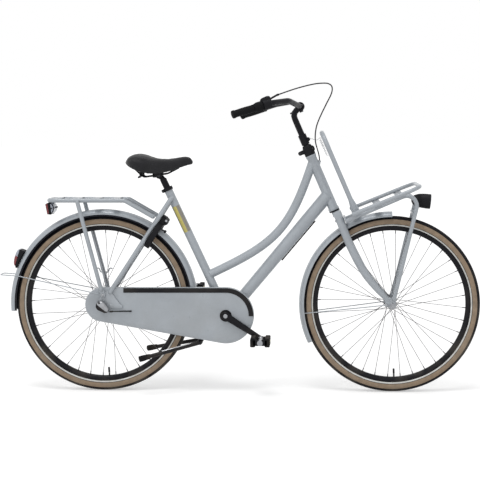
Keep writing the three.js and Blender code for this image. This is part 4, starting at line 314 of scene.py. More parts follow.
def plate(outline, y, thickness, edge=0.0, finish=0):
    """A flat outline in the X-Z plane, given thickness across the bike from y towards +Y."""
    shape = loft([side_ring(outline, y), side_ring(outline, y + thickness)], finish=finish)
    return softened(shape, edge) if edge else shape


def block(size, centre, edge=0.0, turn=None, finish=0):
    """A block with softened edges, turned by a quaternion and set at its centre."""
    x, y, z = Vector(size) / 2
    shape = plate([(-x, -z), (x, -z), (x, z), (-x, z)], -y, 2 * y, edge, finish)
    return shape.moved(Matrix.Translation(centre) @ (turn or Quaternion()).to_matrix().to_4x4())


# finishes
def rgb(code):
    """A linear colour from an sRGB hex code."""
    parts = [(code >> shift & 255) / 255 for shift in (16, 8, 0)]
    return [p / 12.92 if p <= 0.04045 else ((p + 0.055) / 1.055) ** 2.4 for p in parts]


def shade(colour, factor):
    return [min(1.0, c * factor) for c in colour] + [1.0]


def add_node(tree, kind, inputs=None, **values):
    """A shader node with its properties set, and its inputs linked or given a value."""
    made = tree.nodes.new("ShaderNode" + kind)
    for name, value in values.items():
        setattr(made, name, value)
    for socket, value in (inputs or {}).items():
        if isinstance(value, bpy.types.NodeSocket):
            tree.links.new(value, made.inputs[socket])
        else:
            made.inputs[socket].default_value = value
    return made


def empty_material(name):
    material = bpy.data.materials.new(name)
    material.use_nodes = True
    material.node_tree.nodes.clear()
    return material


class Finish:
    """A procedural material: colour variation, wear, roughness and bump from nodes."""

    def __init__(self, name, colour, roughness, metallic=0.0, coat=0.0, specular=0.5, ior=1.45):
        self.material = empty_material(name)
        self.colour, self.roughness = colour, roughness
        self.shader = self.node("BsdfPrincipled", {
            "Metallic": metallic, "Coat Weight": coat, "Coat Roughness": 0.12,
            "Specular IOR Level": specular, "IOR": ior})
        self.node("OutputMaterial", {"Surface": self.shader.outputs["BSDF"]})
        self.place = self.node("TexCoord").outputs["Object"]

    def node(self, kind, inputs=None, **values):
        return add_node(self.material.node_tree, kind, inputs, **values)

    def link(self, start, name):
        self.material.node_tree.links.new(start, self.shader.inputs[name])
        return self

    def noise(self, scale, detail=4.0, place=None):
        return self.node("TexNoise", {"Scale": scale, "Detail": detail, "Roughness": 0.55,
                                      "Vector": place or self.place}).outputs["Fac"]

    def ramp(self, value, *stops):
        made = self.node("ValToRGB", {"Fac": value})
        for element, (position, colour) in zip(made.color_ramp.elements, stops):
            element.position, element.color = position, colour
        return made.outputs["Color"]

    def span(self, value, low, high, to_low=0.0, to_high=1.0):
        return self.node("MapRange", {"Value": value, "From Min": low, "From Max": high,
                                      "To Min": to_low, "To Max": to_high}).outputs["Result"]

    def mix(self, factor, a, b, blend="MIX"):
        return self.node("Mix", {0: factor, 6: a, 7: b}, data_type="RGBA", blend_type=blend).outputs[2]

    def calc(self, kind, a, b):
        return self.node("Math", {0: a, 1: b}, operation=kind).outputs[0]

    def varied(self, share=0.08, scale=22.0, dust=None, dust_share=0.3):
        """Base colour from broad and fine noise, with dust settled low on the bike."""
        dark, light = shade(self.colour, 1 - share), shade(self.colour, 1 + share)
        broad = self.ramp(self.noise(scale), (0.3, dark), (0.7, light))
        fine = self.ramp(self.noise(scale * 40, 2.0), (0.35, [0.94, 0.94, 0.94, 1.0]), (0.65, [1.0] * 4))
        colour = self.mix(1.0, broad, fine, "MULTIPLY")
        if dust:
            height = self.node("SeparateXYZ", {0: self.place}).outputs["Z"]
            settled = self.calc("MULTIPLY", self.span(height, 0.0, 0.55, 1.0, 0.0),
                                  self.span(self.noise(9.0, 6.0), 0.42, 0.72))
            colour = self.mix(self.calc("MULTIPLY", settled, dust_share), colour, dust + [1.0])
        return self.link(colour, "Base Color")

    def worn(self, share=0.25, scale=30.0):
        """Roughness that drifts with smears and fine scratches."""
        low, high = max(0.02, self.roughness * (1 - share)), min(1.0, self.roughness * (1 + share))
        return self.link(self.span(self.noise(scale, 6.0), 0.3, 0.7, low, high), "Roughness")

    def bumped(self, height, strength, distance):
        """The finished material, with its surface raised by a height."""
        bump = self.node("Bump", {"Strength": strength, "Distance": distance, "Height": height})
        return self.link(bump.outputs["Normal"], "Normal").material


DUST = rgb(0x9A9184)


def lacquer(name, colour, roughness=0.38, flake=0.06, coat=0.4, specular=0.4):
    """Sprayed lacquer: a clear coat over fine flake, with a slight orange peel."""
    paint = Finish(name, colour, roughness, metallic=0.08, coat=coat, specular=specular)
    paint.varied(flake, 14.0, DUST, 0.22).worn(0.3, 18.0)
    return paint.bumped(paint.noise(420.0, 2.0), 0.08, 0.0002)


def moulded(name, colour, roughness=0.55):
    """Moulded plastic: fine grain and dull smears."""
    plastic = Finish(name, colour, roughness, specular=0.2)
    plastic.varied(0.14, 35.0, DUST, 0.25).worn(0.2, 26.0)
    return plastic.bumped(plastic.noise(900.0, 3.0), 0.18, 0.0002)


def metal(name, colour, roughness=0.3, metallic=0.92):
    """Bare metal: faint tarnish, smears and fine grain."""
    steel = Finish(name, colour, roughness, metallic=metallic)
    steel.varied(0.1, 60.0, DUST, 0.18).worn(0.35, 45.0)
    return steel.bumped(steel.noise(700.0, 2.0), 0.1, 0.0002)


def rubber(name, colour, roughness=0.8, pattern=260.0):
    """Rubber: matt, dusty, with a pebbled surface."""
    gum = Finish(name, colour, roughness, specular=0.18)
    gum.varied(0.16, 40.0, DUST, 0.35).worn(0.12, 20.0)
    cells = gum.node("TexVoronoi", {"Scale": pattern, "Vector": gum.place})
    return gum.bumped(cells.outputs["Distance"], 0.25, 0.0003)


def lens(name, colour, roughness=0.12, transmission=0.35):
    """A moulded lens: bright plastic over prisms, seen through its skin."""
    glass = Finish(name, colour, roughness, coat=0.3, ior=1.49)
    glass.shader.inputs["Transmission Weight"].default_value = transmission
    glass.varied(0.18, 50.0).worn(0.25, 60.0)
    prisms = glass.node("TexWave", {"Scale": 260.0, "Distortion": 0.4, "Vector": glass.place},
                        wave_type="BANDS", bands_direction="Z")
    return glass.bumped(prisms.outputs["Fac"], 0.35, 0.0005)


def hide(name, colour, roughness=0.5):
    """Saddle skin: leather grain of cells and creases, worn glossier in patches."""
    skin = Finish(name, colour, roughness, specular=0.3)
    skin.varied(0.2, 28.0).worn(0.3, 16.0)
    skin.shader.inputs["Sheen Weight"].default_value = 0.12
    cells = skin.node("TexVoronoi", {"Scale": 420.0, "Vector": skin.place}, feature="DISTANCE_TO_EDGE")
    grain = skin.calc("ADD", skin.span(cells.outputs["Distance"], 0.0, 0.4), skin.noise(110.0, 6.0))
    return skin.bumped(grain, 0.4, 0.0005)


grey_lacquer = lacquer("grey_lacquer_worn", rgb(0xA6ACB2))
black_lacquer = lacquer("black_lacquer_worn", rgb(0x131318), 0.36, coat=0.03, specular=0.16)
black_plastic = moulded("black_plastic_grained", rgb(0x141418))
grip_rubber = rubber("grip_rubber_pebbled", rgb(0x131315), 0.75)
tread_rubber = rubber("tread_rubber", rgb(0x18171A), 0.85, 190.0)
tan_sidewall = rubber("tan_sidewall", rgb(0x94826F), 0.85, 520.0)
line_rubber = rubber("reflective_line", rgb(0xD2D2CE), 0.55, 600.0)
silver = metal("silver_satin", rgb(0x9C9EA2))
bright_silver = metal("silver_spokes", rgb(0x4C4A4E), 0.4, metallic=0.6)
dark_steel = metal("dark_steel_oiled", rgb(0x3A3A3D), 0.4)
# dark finish for the fenders' inner faces and skirt: painted shade inside the fender
fender_lining = moulded("fender_lining", rgb(0x22232A), 0.8)
red_lens = lens("red_lens_prismatic", rgb(0x8E1822))
clear_lens = lens("clear_lens_prismatic", rgb(0xA9AFBC), 0.14, 0.08)
# bright finish of the kickstand's strip: a spring rod, and also a painted highlight on the leg
bright_trim = metal("bright_trim", rgb(0xC9CACD), 0.3)
saddle_hide = hide("saddle_hide", rgb(0x141418))
band_yellow = lacquer("band_yellow", rgb(0xC4B967), 0.4, 0.04)
band_brown = lacquer("band_brown_grey", rgb(0x8C887F), 0.42, 0.05)


def piece(name, shape, finishes, body, node, place=None, smooth=SMOOTH_ANGLE, levels=0):
    """An object in metres from a shape in millimetres, riding on a body in a node's stead."""
    mesh = bpy.data.meshes.new(name)
    points = [place @ p for p in shape.points] if place else shape.points
    mesh.from_pydata([p * MM for p in points], [], shape.faces)
    for finish in finishes:
        mesh.materials.append(finish)
    for polygon, finish in zip(mesh.polygons, shape.finishes):
        polygon.material_index = finish
    clean = bmesh.new()
    clean.from_mesh(mesh)
    bmesh.ops.remove_doubles(clean, verts=clean.verts, dist=SAME_PLACE)
    bmesh.ops.dissolve_degenerate(clean, dist=SAME_PLACE / 2, edges=clean.edges)
    bmesh.ops.recalc_face_normals(clean, faces=clean.faces)
    clean.to_mesh(mesh)
    clean.free()
    made = placed(name, mesh)
    if levels:
        subdivision = made.modifiers.new("subdivision", "SUBSURF")
        subdivision.levels = subdivision.render_levels = levels
    mesh.shade_smooth()
    mesh.set_sharp_from_angle(angle=smooth)
    if body:
        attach(made, body)
    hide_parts(node)
    return made


def placed(name, data):
    """A new object in the scene."""
    made = bpy.data.objects.new(name, data)
    scene.collection.objects.link(made)
    return made


# shared places
CLEARANCE = 0.3
WHEEL_RADIUS = 358.0
REAR_AXLE = vec(-554, 0, WHEEL_RADIUS)
FRONT_AXLE = vec(619, 0, WHEEL_RADIUS)
BOTTOM_BRACKET = vec(-52, 0, WHEEL_RADIUS - 43)
SEAT_ANGLE = radians(25.1)
HEAD_ANGLE = radians(23.3)
FORK_RAKE = 62.9
FORK_LENGTH = 443.0
HEAD_TUBE_LENGTH = 241.5
HEAD_TUBE_DIAMETER = 40.0
SEAT_TUBE_LENGTH = 568.0
SEAT_TUBE_DIAMETER = 34.0
SEAT_AXIS = vec(-sin(SEAT_ANGLE), 0, cos(SEAT_ANGLE))
SEAT_AHEAD = vec(SEAT_AXIS.z, 0, -SEAT_AXIS.x)
STEER_AXIS = vec(-sin(HEAD_ANGLE), 0, cos(HEAD_ANGLE))
STEER_AHEAD = vec(cos(HEAD_ANGLE), 0, sin(HEAD_ANGLE))
HEAD_BASE = FRONT_AXLE - STEER_AHEAD * FORK_RAKE + STEER_AXIS * FORK_LENGTH
PORT_HEIGHT = HEAD_TUBE_LENGTH * 0.8
PORT_WAY = (STEER_AHEAD + STEER_AXIS * 1.6).normalized()


def frame_of(ahead, across, along, origin):
    """A matrix whose axes are these three directions."""
    turn = Matrix((ahead, across, along)).transposed().to_4x4()
    return Matrix.Translation(origin) @ turn


STEER = frame_of(STEER_AHEAD, SIDE, STEER_AXIS, HEAD_BASE)
FRONT_HUB = STEER @ Matrix.Translation((FORK_RAKE, 0, -FORK_LENGTH))
REAR_HUB = Matrix.Translation(REAR_AXLE)


def there_and_back(half):
    """A route across the bike that returns as its own mirror image."""
    return [*half, *[spread(p, -p.y) for p in reversed(half)]]


def on_seat(along, ahead=0.0):
    return BOTTOM_BRACKET + SEAT_AXIS * along + SEAT_AHEAD * ahead


def on_head(along, ahead=0.0):
    return HEAD_BASE + STEER_AXIS * along + STEER_AHEAD * ahead


# frame tubes
TOP_TUBE_DIAMETER = 35.0
NECK_SHARES = ((0.644, 0.274), (0.779, 0.391))
STAY_END_SPREAD = 62.8
COLLAR_HEIGHT = 9.0
BAND_FROM, BAND_TO = 372.0, 486.0


def swan_neck(steps=72):
    start = on_seat(175, SEAT_TUBE_DIAMETER / 4)
    end = on_head(HEAD_TUBE_LENGTH - 24)
    controls = [start] + [
        vec(start.x + (end.x - start.x) * across, 0, start.z + (end.z - start.z) * rise)
        for across, rise in NECK_SHARES
    ] + [end]
    route = []
    for i in range(steps + 1):
        t = i / steps
        weights = ((1 - t) ** 3, 3 * t * (1 - t) ** 2, 3 * t * t * (1 - t), t ** 3)
        route.append(sum((c * w for c, w in zip(controls, weights)), Vector()))
    return route


def head_tube_shape():
    outer, bore = HEAD_TUBE_DIAMETER / 2, 16.5
    collar = [(bore, 0), (outer + 1.6, 0), (outer + 2, 1), (outer + 2, COLLAR_HEIGHT - 1),
              (outer, COLLAR_HEIGHT + 2)]
    profile = collar + [(r, HEAD_TUBE_LENGTH - along) for r, along in reversed(collar)]
    port = on_head(PORT_HEIGHT, outer - 4)
    return joined(lathe(profile, on_head(0), STEER_AXIS, 64), disc(5.5, port, PORT_WAY, 18, 24, edge=1.0),
                  disc(6.6, port + PORT_WAY * 11, PORT_WAY, 4, 24, edge=1.0))


piece("head_tube_lacquered", head_tube_shape(), [grey_lacquer], "frame", "head_tube")
piece("top_tube_swan_neck", tube(swan_neck(), TOP_TUBE_DIAMETER, 32), [grey_lacquer], "frame", "top_tube")


DOWN_FROM, DOWN_TO = BOTTOM_BRACKET + FORWARD * 7, on_head(65)


def down_tube_shape():
    route = [DOWN_FROM.lerp(DOWN_TO, i / 24) for i in range(25)]
    scales = [(46 + 6 * i / 24) / 46 for i in range(25)]
    return tube(route, 46, 40, scales=scales)


piece("down_tube_lacquered", down_tube_shape(), [grey_lacquer], "frame", "down_tube")


def seat_tube_shape():
    """The seat tube, with a plain two-tone panel on each side below the clamp."""
    outer, bore = SEAT_TUBE_DIAMETER / 2, 13.9
    cuts = [18, BAND_FROM, BAND_TO, SEAT_TUBE_LENGTH]
    profile = [(bore, cuts[0])] + [(outer, cut) for cut in cuts] + [(bore, SEAT_TUBE_LENGTH)]
    shape = lathe(profile, on_seat(0), SEAT_AXIS, 96)
    for i, face in enumerate(shape.faces):
        middle = shape.middle(face) - on_seat(0)
        along, ahead = middle.dot(SEAT_AXIS), middle.dot(SEAT_AHEAD) / outer
        if BAND_FROM < along < BAND_TO and abs(ahead) < 0.85:
            shape.finishes[i] = 2 if -0.7 < ahead < 0.12 else 1
    return shape


piece("seat_tube_banded", seat_tube_shape(), [grey_lacquer, band_brown, band_yellow], "frame", "seat_tube")


def bracket_shell_shape():
    half, outer, bore = 34.0, 21.0, 8.8
    profile = [
        (bore, -half + 3), (17.5, -half + 3), (17.5, -half), (outer - 1, -half), (outer, -half + 1),
        (outer, half - 1), (outer - 1, half), (17.5, half), (17.5, half - 3), (bore, half - 3),
    ]
    return lathe(profile, BOTTOM_BRACKET, SIDE, 64)


piece("bracket_shell_turned", bracket_shell_shape(), [grey_lacquer], "frame", "bottom_bracket_shell")

REARWARD = REAR_AXLE - BOTTOM_BRACKET
DROPOUT_EYE = REAR_AXLE + vec(6, 0, 41)
SEAT_STAY_FOOT = REAR_AXLE + vec(34, 0, 52)
DROPOUT_INNER = 60.3


def on_stay(share, y):
    return spread(BOTTOM_BRACKET + REARWARD * share, y)


def dropout_shape():
    step_out = on_stay(0.85, 0)
    outline = [
        *arc(REAR_AXLE.x, REAR_AXLE.z, 17, pi, 1.75 * pi, 14),
        *arc(step_out.x, step_out.z, 8, -pi / 2, pi / 2, 10),
        *arc(SEAT_STAY_FOOT.x, SEAT_STAY_FOOT.z, 9, -pi / 6, pi / 2, 8),
        *arc(DROPOUT_EYE.x, DROPOUT_EYE.z, 10, pi / 2, pi, 8),
    ]
    return plate(outline, DROPOUT_INNER, 5, 0.8)


def chain_stays_shape():
    route = rounded([
        on_stay(0.032, 30), on_stay(0.17, 35), on_stay(0.27, 47), on_stay(0.85, 47),
        on_stay(0.93, STAY_END_SPREAD),
    ], 60, 6)
    stay = sweep(route, circle(8, TUBE_SIDES, 0.75), level=True, dome=0.8)
    bridge = rod(on_stay(0.13, -47), on_stay(0.13, 47), 12)
    return joined(both_sides(joined(stay, dropout_shape())), bridge)


piece("chain_stays_lacquered", chain_stays_shape(), [grey_lacquer], "frame", "chain_stays")

STAY_TOP = on_seat(SEAT_TUBE_LENGTH - 45)
STAY_LINE = SEAT_STAY_FOOT - STAY_TOP


def on_seat_stay(share, y):
    return spread(STAY_TOP + STAY_LINE * share, y)


def seat_stays_shape():
    route = rounded([on_seat_stay(0, 24), on_seat_stay(0.22, 43), on_seat_stay(1, STAY_END_SPREAD)], 300, 14)
    stay = tube(route, 18, TUBE_SIDES, dome=0.9)
    bridge = rod(on_seat_stay(0.16, -43), on_seat_stay(0.16, 43), 10)
    cap = rod(on_seat_stay(-0.005, 12), on_seat_stay(0.012, 27), 17, dome=0.8)
    return joined(both_sides(joined(stay, cap)), bridge)


piece("seat_stays_lacquered", seat_stays_shape(), [grey_lacquer], "frame", "seat_stays")


# wheels
TYRE_WIDTH = 47.0
SPOKE_COUNT = 36
SPOKE_DIAMETER, NIPPLE_DIAMETER, NIPPLE_LENGTH = 2.0, 3.8, 14.0
RIM_OUTER, RIM_INNER = 317.0, 299.0
TAN_FROM, TAN_TO = 326.0, 345.0
LINE_FROM, LINE_TO = 319.5, 324.5
TREAD_BLOCKS = 120
TREAD_STEPS = 3
TREAD_DEPTH = 1.1


def tyre_shape():
    """Round section: blocks on the tread, tan walls and a light line near the rim."""
    half, steps, limit = TYRE_WIDTH / 2, 26, radians(137)
    centre = WHEEL_RADIUS - half
    swing = [limit * (1 - i / steps) for i in range(2 * steps + 1)]
    bead = [(312.6, -9.2), (312.6, 9.2)]
    rings, marks = [], []
    for i in range(TREAD_BLOCKS * TREAD_STEPS):
        angle = tau * i / (TREAD_BLOCKS * TREAD_STEPS)
        ring = []
        for a in swing:
            on_tread = abs(a) < radians(58)
            block = i % TREAD_STEPS == 0 and radians(24) < abs(a) < radians(56)
            line = round(abs(degrees(a)) / 5) == 4
            drop = TREAD_DEPTH if on_tread and (block or line) else 0.0
            ring.append(polar(centre + (half - drop) * cos(a), angle, (half - drop) * sin(a)))
        rings.append(ring + [polar(radius, angle, y) for radius, y in bead])
    for a, b in zip(swing, swing[1:]):
        radius = centre + half * cos((a + b) / 2)
        marks.append(1 if TAN_FROM < radius < TAN_TO else 2 if LINE_FROM < radius < LINE_TO else 0)
    marks += [0] * (len(rings[0]) - len(marks))
    shape = loft(rings, looped=True)
    shape.finishes = marks * len(rings)
    return shape


def rim_shape(phase, flange_radius, flange_spread, valve_angle):
    """Hollow rim with 36 crossed spokes, nipples and the valve."""
    profile = [(RIM_INNER, 4.5), (RIM_INNER + 2, 8.2), (RIM_INNER + 7, 11.4), (RIM_OUTER - 1.5, 12.5),
               (RIM_OUTER, 11.8), (RIM_OUTER, 9.6), (RIM_OUTER - 5, 9.5)]
    parts = [even_lathe(profile, WHEEL_SEGMENTS)]
    hole = flange_radius - 3
    for i in range(SPOKE_COUNT):
        angle = phase + tau * i / SPOKE_COUNT
        side = 1 if i % 2 else -1
        lean = 1 if i // 2 % 2 else -1
        flange = flange_spread + 3 if lean > 0 else flange_spread - 4.4
        start = polar(hole, angle + lean * radians(60), side * flange)
        end = polar(RIM_INNER + 2, angle, side * 1.5)
        nipple = end.lerp(start, NIPPLE_LENGTH / (end - start).length)
        head = vec(start.x, start.y + (2.2 if flange > flange_spread else -2.2) * side, start.z)
        parts.append(tube([head, start, start.lerp(end, 0.02), nipple], SPOKE_DIAMETER, 8, finish=1))
        parts.append(rod(nipple, end, NIPPLE_DIAMETER, 8, finish=1))
        parts.append(disc(2.3, head, SIDE if head.y > start.y else -SIDE, 1.0, 10, finish=1))
    stem = polar(RIM_INNER + 4, valve_angle)
    tip = polar(RIM_INNER - 32, valve_angle)
    parts.append(rod(stem, stem.lerp(tip, 0.6), 6.4, 16, finish=2))
    parts.append(rod(stem.lerp(tip, 0.5), tip, 8, 16, finish=2, dome=0.5))
    return joined(*parts)


def hub_shape(width, flange_radius, flange_spread, barrel):
    half = width / 2 - 0.6
    inner = flange_spread - 3
    cap = [(5.3, 0), (14, 0), (16, 1), (17, 3), (17, 8), (15, 9.5), (11, 9.5)]
    flange = [
        (11, flange_spread + 1), (flange_radius - 8, flange_spread), (flange_radius - 1, flange_spread),
        (flange_radius, flange_spread - 1), (flange_radius, inner + 1), (flange_radius - 1, inner),
    ]
    neck = [(barrel + 3, inner - 0.5), (barrel, inner - 4)]
    return even_lathe([(r, half - y) for r, y in cap] + flange + neck, 72)


def bolt_pair(place, reach, radius):
    return joined(*[bolt(place + SIDE * reach * side, SIDE * side, radius) for side in (-1, 1)])


def axle_shape(reach, nut_from):
    """A threaded axle with flanged and domed nuts."""
    thread = [(5 - 0.35 * (i % 2), -reach + 1 + i * 0.75) for i in range(int((2 * reach - 2) / 0.75))]
    parts = [lathe([(0, -reach), (4.2, -reach), *thread, (4.2, reach), (0, reach)], ORIGIN, SIDE, 24)]
    for side in (-1, 1):
        start = vec(0, side * nut_from, 0)
        parts.append(softened(disc(8.5, start, SIDE * side, 8, 6), 0.7))
        parts.append(disc(10.5, start, SIDE * side, 1.6, 40, edge=0.4))
    return joined(*parts)


FRONT_PHASE, REAR_PHASE = radians(7), radians(8.6)
FRONT_VALVE, REAR_VALVE = radians(-88), radians(-86.4)
tyre_finishes = [tread_rubber, tan_sidewall, line_rubber]
rim_finishes = [black_lacquer, bright_silver, black_plastic]
for which, hub_place, body, phase, flange, flange_spread, valve, width, barrel in (
    ("front", FRONT_HUB, "front_wheel", FRONT_PHASE - HEAD_ANGLE, 19, 34, FRONT_VALVE - HEAD_ANGLE, 100, 14),
    ("rear", REAR_HUB, "rear_wheel", REAR_PHASE, 34, 29, REAR_VALVE, 120, 29),
):
    piece(f"{which}_tyre_treaded", tyre_shape(), tyre_finishes, body, f"{which}_tyre", place=hub_place)
    piece(f"{which}_wheel_spoked", rim_shape(phase, flange, flange_spread, valve), rim_finishes, body,
          f"{which}_rim", place=hub_place)
    piece(f"{which}_hub_turned", hub_shape(width, flange, flange_spread, barrel), [silver], body,
          f"{which}_hub", place=hub_place)
FRONT_NUT, REAR_NUT = 58.9, 65.6
piece("front_axle_threaded", axle_shape(FRONT_NUT + 12, FRONT_NUT), [silver], "steering", "front_axle",
      place=FRONT_HUB)
piece("rear_axle_threaded", axle_shape(REAR_NUT + 12, REAR_NUT), [silver], "frame", "rear_axle",
      place=REAR_HUB)


# fenders
FENDER_HALF, FENDER_DEPTH, FENDER_SHEET = 31.0, 21.0, 2.0


def fender_shape(crown, start, end, bead=2.6, painted_shade_skirt=0.0):
    """A crowned channel with rolled side edges; its inner faces and an inner skirt beside the tread are dark,
    as painted shade.
    """
    def section(half, depth, lift):
        steps = [pi * (i / 20 - 0.5) for i in range(21)]
        return [(half * sin(a), lift + depth * (1 - cos(a))) for a in steps]
    outer = section(FENDER_HALF, FENDER_DEPTH, 0)
    inner = section(FENDER_HALF - FENDER_SHEET, FENDER_DEPTH - FENDER_SHEET, FENDER_SHEET)[::-1]
    count = ceil((end - start) / radians(2))
    angles = [start + (end - start) * i / count for i in range(count + 1)]
    rings = [[polar(crown - d, a, y) for y, d in [*outer, *inner]] for a in angles]
    skin = loft(rings)
    # the inner faces take the dark finish: painted shade inside the fender
    for i in range(len(skin.faces) - 2):
        skin.finishes[i] = 1 if len(outer) <= i % (2 * len(outer)) < 2 * len(outer) - 1 else 0
    edge_radius = crown - FENDER_DEPTH + bead / 2
    edge = tube([polar(edge_radius, a, FENDER_HALF - bead / 2) for a in angles], bead, 10, dome=0.8)
    if not painted_shade_skirt:
        return joined(skin, both_sides(edge))
    # a dark strip beside the tread: painted shade in the gap under the fender
    across = FENDER_HALF - 3.2
    strip = [[polar(r, a, y) for r, y in (
        (edge_radius + 1, across), (edge_radius - painted_shade_skirt, across - 1), (edge_radius - painted_shade_skirt, across - 2.4),
        (edge_radius + 1, across - 1.4))] for a in angles]
    return joined(skin, both_sides(edge), both_sides(loft(strip, finish=1)))


# the rear fender's dark skirt is painted shade
piece("rear_fender_rolled", fender_shape(385, radians(-12), radians(184.8), painted_shade_skirt=8.5),
      [grey_lacquer, fender_lining], "frame", "rear_fender", place=REAR_HUB)
piece("front_fender_rolled", fender_shape(376, radians(66.5), radians(181.9)),
      [grey_lacquer, fender_lining], "steering", "front_fender", place=FRONT_HUB)


def front_stay_shape():
    eye = vec(-21, 55.9, 11)
    corner = polar(WHEEL_RADIUS + 4, radians(162.8), 23.2)
    start = spread(eye, eye.y + 2.5)
    route = rounded(there_and_back([start, corner]), 6)
    lug = joined(hoop(7.5, 2.9, eye, SIDE, 5, 32, edge=0.6), bolt(spread(eye, eye.y + 5), SIDE))
    return joined(tube(route, 4, 14), both_sides(lug))


def rear_stay_shape():
    eye = DROPOUT_EYE - REAR_AXLE
    centre = REAR_NUT + 2.5
    side = FENDER_HALF + CLEARANCE + 2
    corner = polar(385 - FENDER_DEPTH, radians(162), side)
    half = [spread(eye, centre), spread(eye.lerp(corner, 0.09), centre), corner, vec(-421.5, side, 118)]
    route = rounded(there_and_back(half), 12)
    lug = hoop(7.5, 3.4, spread(eye, REAR_NUT), SIDE, 5, 32, edge=0.6)
    return joined(tube(route, 4, 14), both_sides(lug))


piece("front_fender_stay_bent", front_stay_shape(), [grey_lacquer, silver], "steering", "front_fender_stay",
      place=FRONT_HUB)
piece("rear_fender_stay_bent", rear_stay_shape(), [grey_lacquer], "frame", "rear_fender_stay",
      place=REAR_HUB)


# fork and headset
BLADE_SHARES = ((0.065, 0.1), (0.3, 0.05), (0.505, 0.11), (0.665, 0.25), (0.83, 0.59), (0.945, 0.9))
BLADE_WIDTHS = (1.0, 1.0, 1.0, 0.9, 0.79, 0.6)
CROWN_SPREAD, CROWN_DEPTH, CROWN_HEIGHT = 46.0, 34.0, 34.0
CROWN_TOP = -6.6
CROWN_AHEAD = FORK_RAKE * BLADE_SHARES[0][1]
CROWN_MIDDLE, CROWN_BACK = CROWN_TOP - CROWN_HEIGHT / 2, CROWN_AHEAD - CROWN_DEPTH / 2
FORK_END_INNER = 50.3


def fork_at(drop_share, rake_share, y):
    return vec(FORK_RAKE * rake_share, y, -FORK_LENGTH * drop_share)


def fork_blade():
    corners = [fork_at(d, r, CROWN_SPREAD + (50 - CROWN_SPREAD) * d) for d, r in BLADE_SHARES]
    route = smooth_route(corners, 8)
    runs = runs_of(route)
    knots = [runs[8 * i] for i in range(len(corners))]
    scales = []
    for run in runs:
        i = max(k for k in range(len(knots) - 1) if knots[k] <= run + 0.001)
        t = min(1.0, (run - knots[i]) / (knots[i + 1] - knots[i]))
        scales.append(BLADE_WIDTHS[i] + (BLADE_WIDTHS[i + 1] - BLADE_WIDTHS[i]) * t)
    return sweep(route, circle(16.5, TUBE_SIDES, 0.72), scales, dome=0.5, level=True)


def fork_end():
    tip = fork_at(*BLADE_SHARES[-1], 0)
    half = 11
    outline = [
        *arc(FORK_RAKE, -FORK_LENGTH, half, pi, tau, 16),
        (tip.x + half, tip.z + half), (tip.x - half, tip.z + half),
        *arc(FORK_RAKE - 21, -FORK_LENGTH + half, 6, pi / 2, pi * 1.5, 10),
    ]
    return plate(outline, FORK_END_INNER, 5, 0.8)


def fork_shape():
    crown_reach = CROWN_SPREAD + 12
    outline = box_outline(CROWN_AHEAD, CROWN_MIDDLE, CROWN_DEPTH / 2, CROWN_HEIGHT / 2, 9, 8)
    crown = plate(outline, -crown_reach, 2 * crown_reach, 3.0)
    lug = block((5, 20, 39), (CROWN_BACK + 2.2, 0, CROWN_MIDDLE - 11), 1.5)
    bolts = [bolt(vec(CROWN_BACK - offset, 0, CROWN_MIDDLE - drop), -FORWARD)
             for offset, drop in ((0, 0), (0.5, 22))]
    steerer = hoop(14.3, 11.3, vec(0, 0, CROWN_MIDDLE), UP, 271, 48)
    return joined(steerer, crown, lug, *bolts, both_sides(joined(fork_blade(), fork_end())))


piece("fork_lacquered", fork_shape(), [grey_lacquer, silver], "steering", "fork", place=STEER)

COVER_FOOT = HEAD_TUBE_LENGTH + CLEARANCE
COVER_HEIGHT = 44.0
SPRING_FOOT = COVER_FOOT + 46
SPRING_BALL, BALL_RADIUS = vec(16.5, 0, SPRING_FOOT + 17), 8.5


def headset_cover_shape():
    """The moulded cap on the head tube, with the carrier's two lugs."""
    top = COVER_FOOT + COVER_HEIGHT
    profile = [(12.6, COVER_FOOT), (21, COVER_FOOT), (22, COVER_FOOT + 1), (22, COVER_FOOT + 26),
               (21.4, COVER_FOOT + 30), (18.2, top - 3), (16.8, top - 0.8), (15.4, top), (12.6, top)]
    middle = COVER_FOOT + COVER_HEIGHT / 2
    parts = [lathe(profile, ORIGIN, UP, 64)]
    for length, height, sign in ((44, 18.5, -1), (27, 26.4, 1)):
        half = height / 2
        lug = [(12.8, -half), (length - 5, 1 - half), (length, -half / 2), (length, half / 2),
               (length - 5, half - 1), (12.8, half)]
        parts.append(plate([(sign * x, middle + z) for x, z in lug], -10, 20, 2.5))
        parts.append(bolt(vec(sign * (length - 9), -10, middle), -SIDE, 4.5))
    return joined(*parts)


def lower_cup_shape():
    profile = [(14.8, -6.3), (20, -6.3), (22, -4.8), (22, -2.2), (20.6, -CLEARANCE), (14.8, -CLEARANCE)]
    return lathe(profile, ORIGIN, UP, 64)


piece("headset_cover_moulded", headset_cover_shape(), [black_plastic, dark_steel], "frame", "headset_cover",
      place=STEER)
piece("headset_lower_cup_turned", lower_cup_shape(), [black_plastic], "frame", "headset_lower_cup",
      place=STEER)


# stem and bar
STEM_REACH, CLAMP_HEIGHT = 39.4, 439.0
CLAMP_RADIUS, CLAMP_HALF = 18.0, 22.0
BAR_DIAMETER = 22.2
CLAMP_PLACE = vec(STEM_REACH, 0, CLAMP_HEIGHT)


def bar_at(back, rise, y):
    return vec(STEM_REACH - back, y, CLAMP_HEIGHT + rise)


def bar_places(side):
    return [bar_at(31.6, 36.5, side * 150), bar_at(95.3, 53, side * 236), bar_at(241.2, 68, side * 297)]


def bar_route():
    return rounded(there_and_back([*reversed(bar_places(-1)), spread(CLAMP_PLACE, -CLAMP_HALF)]), 70, 14)


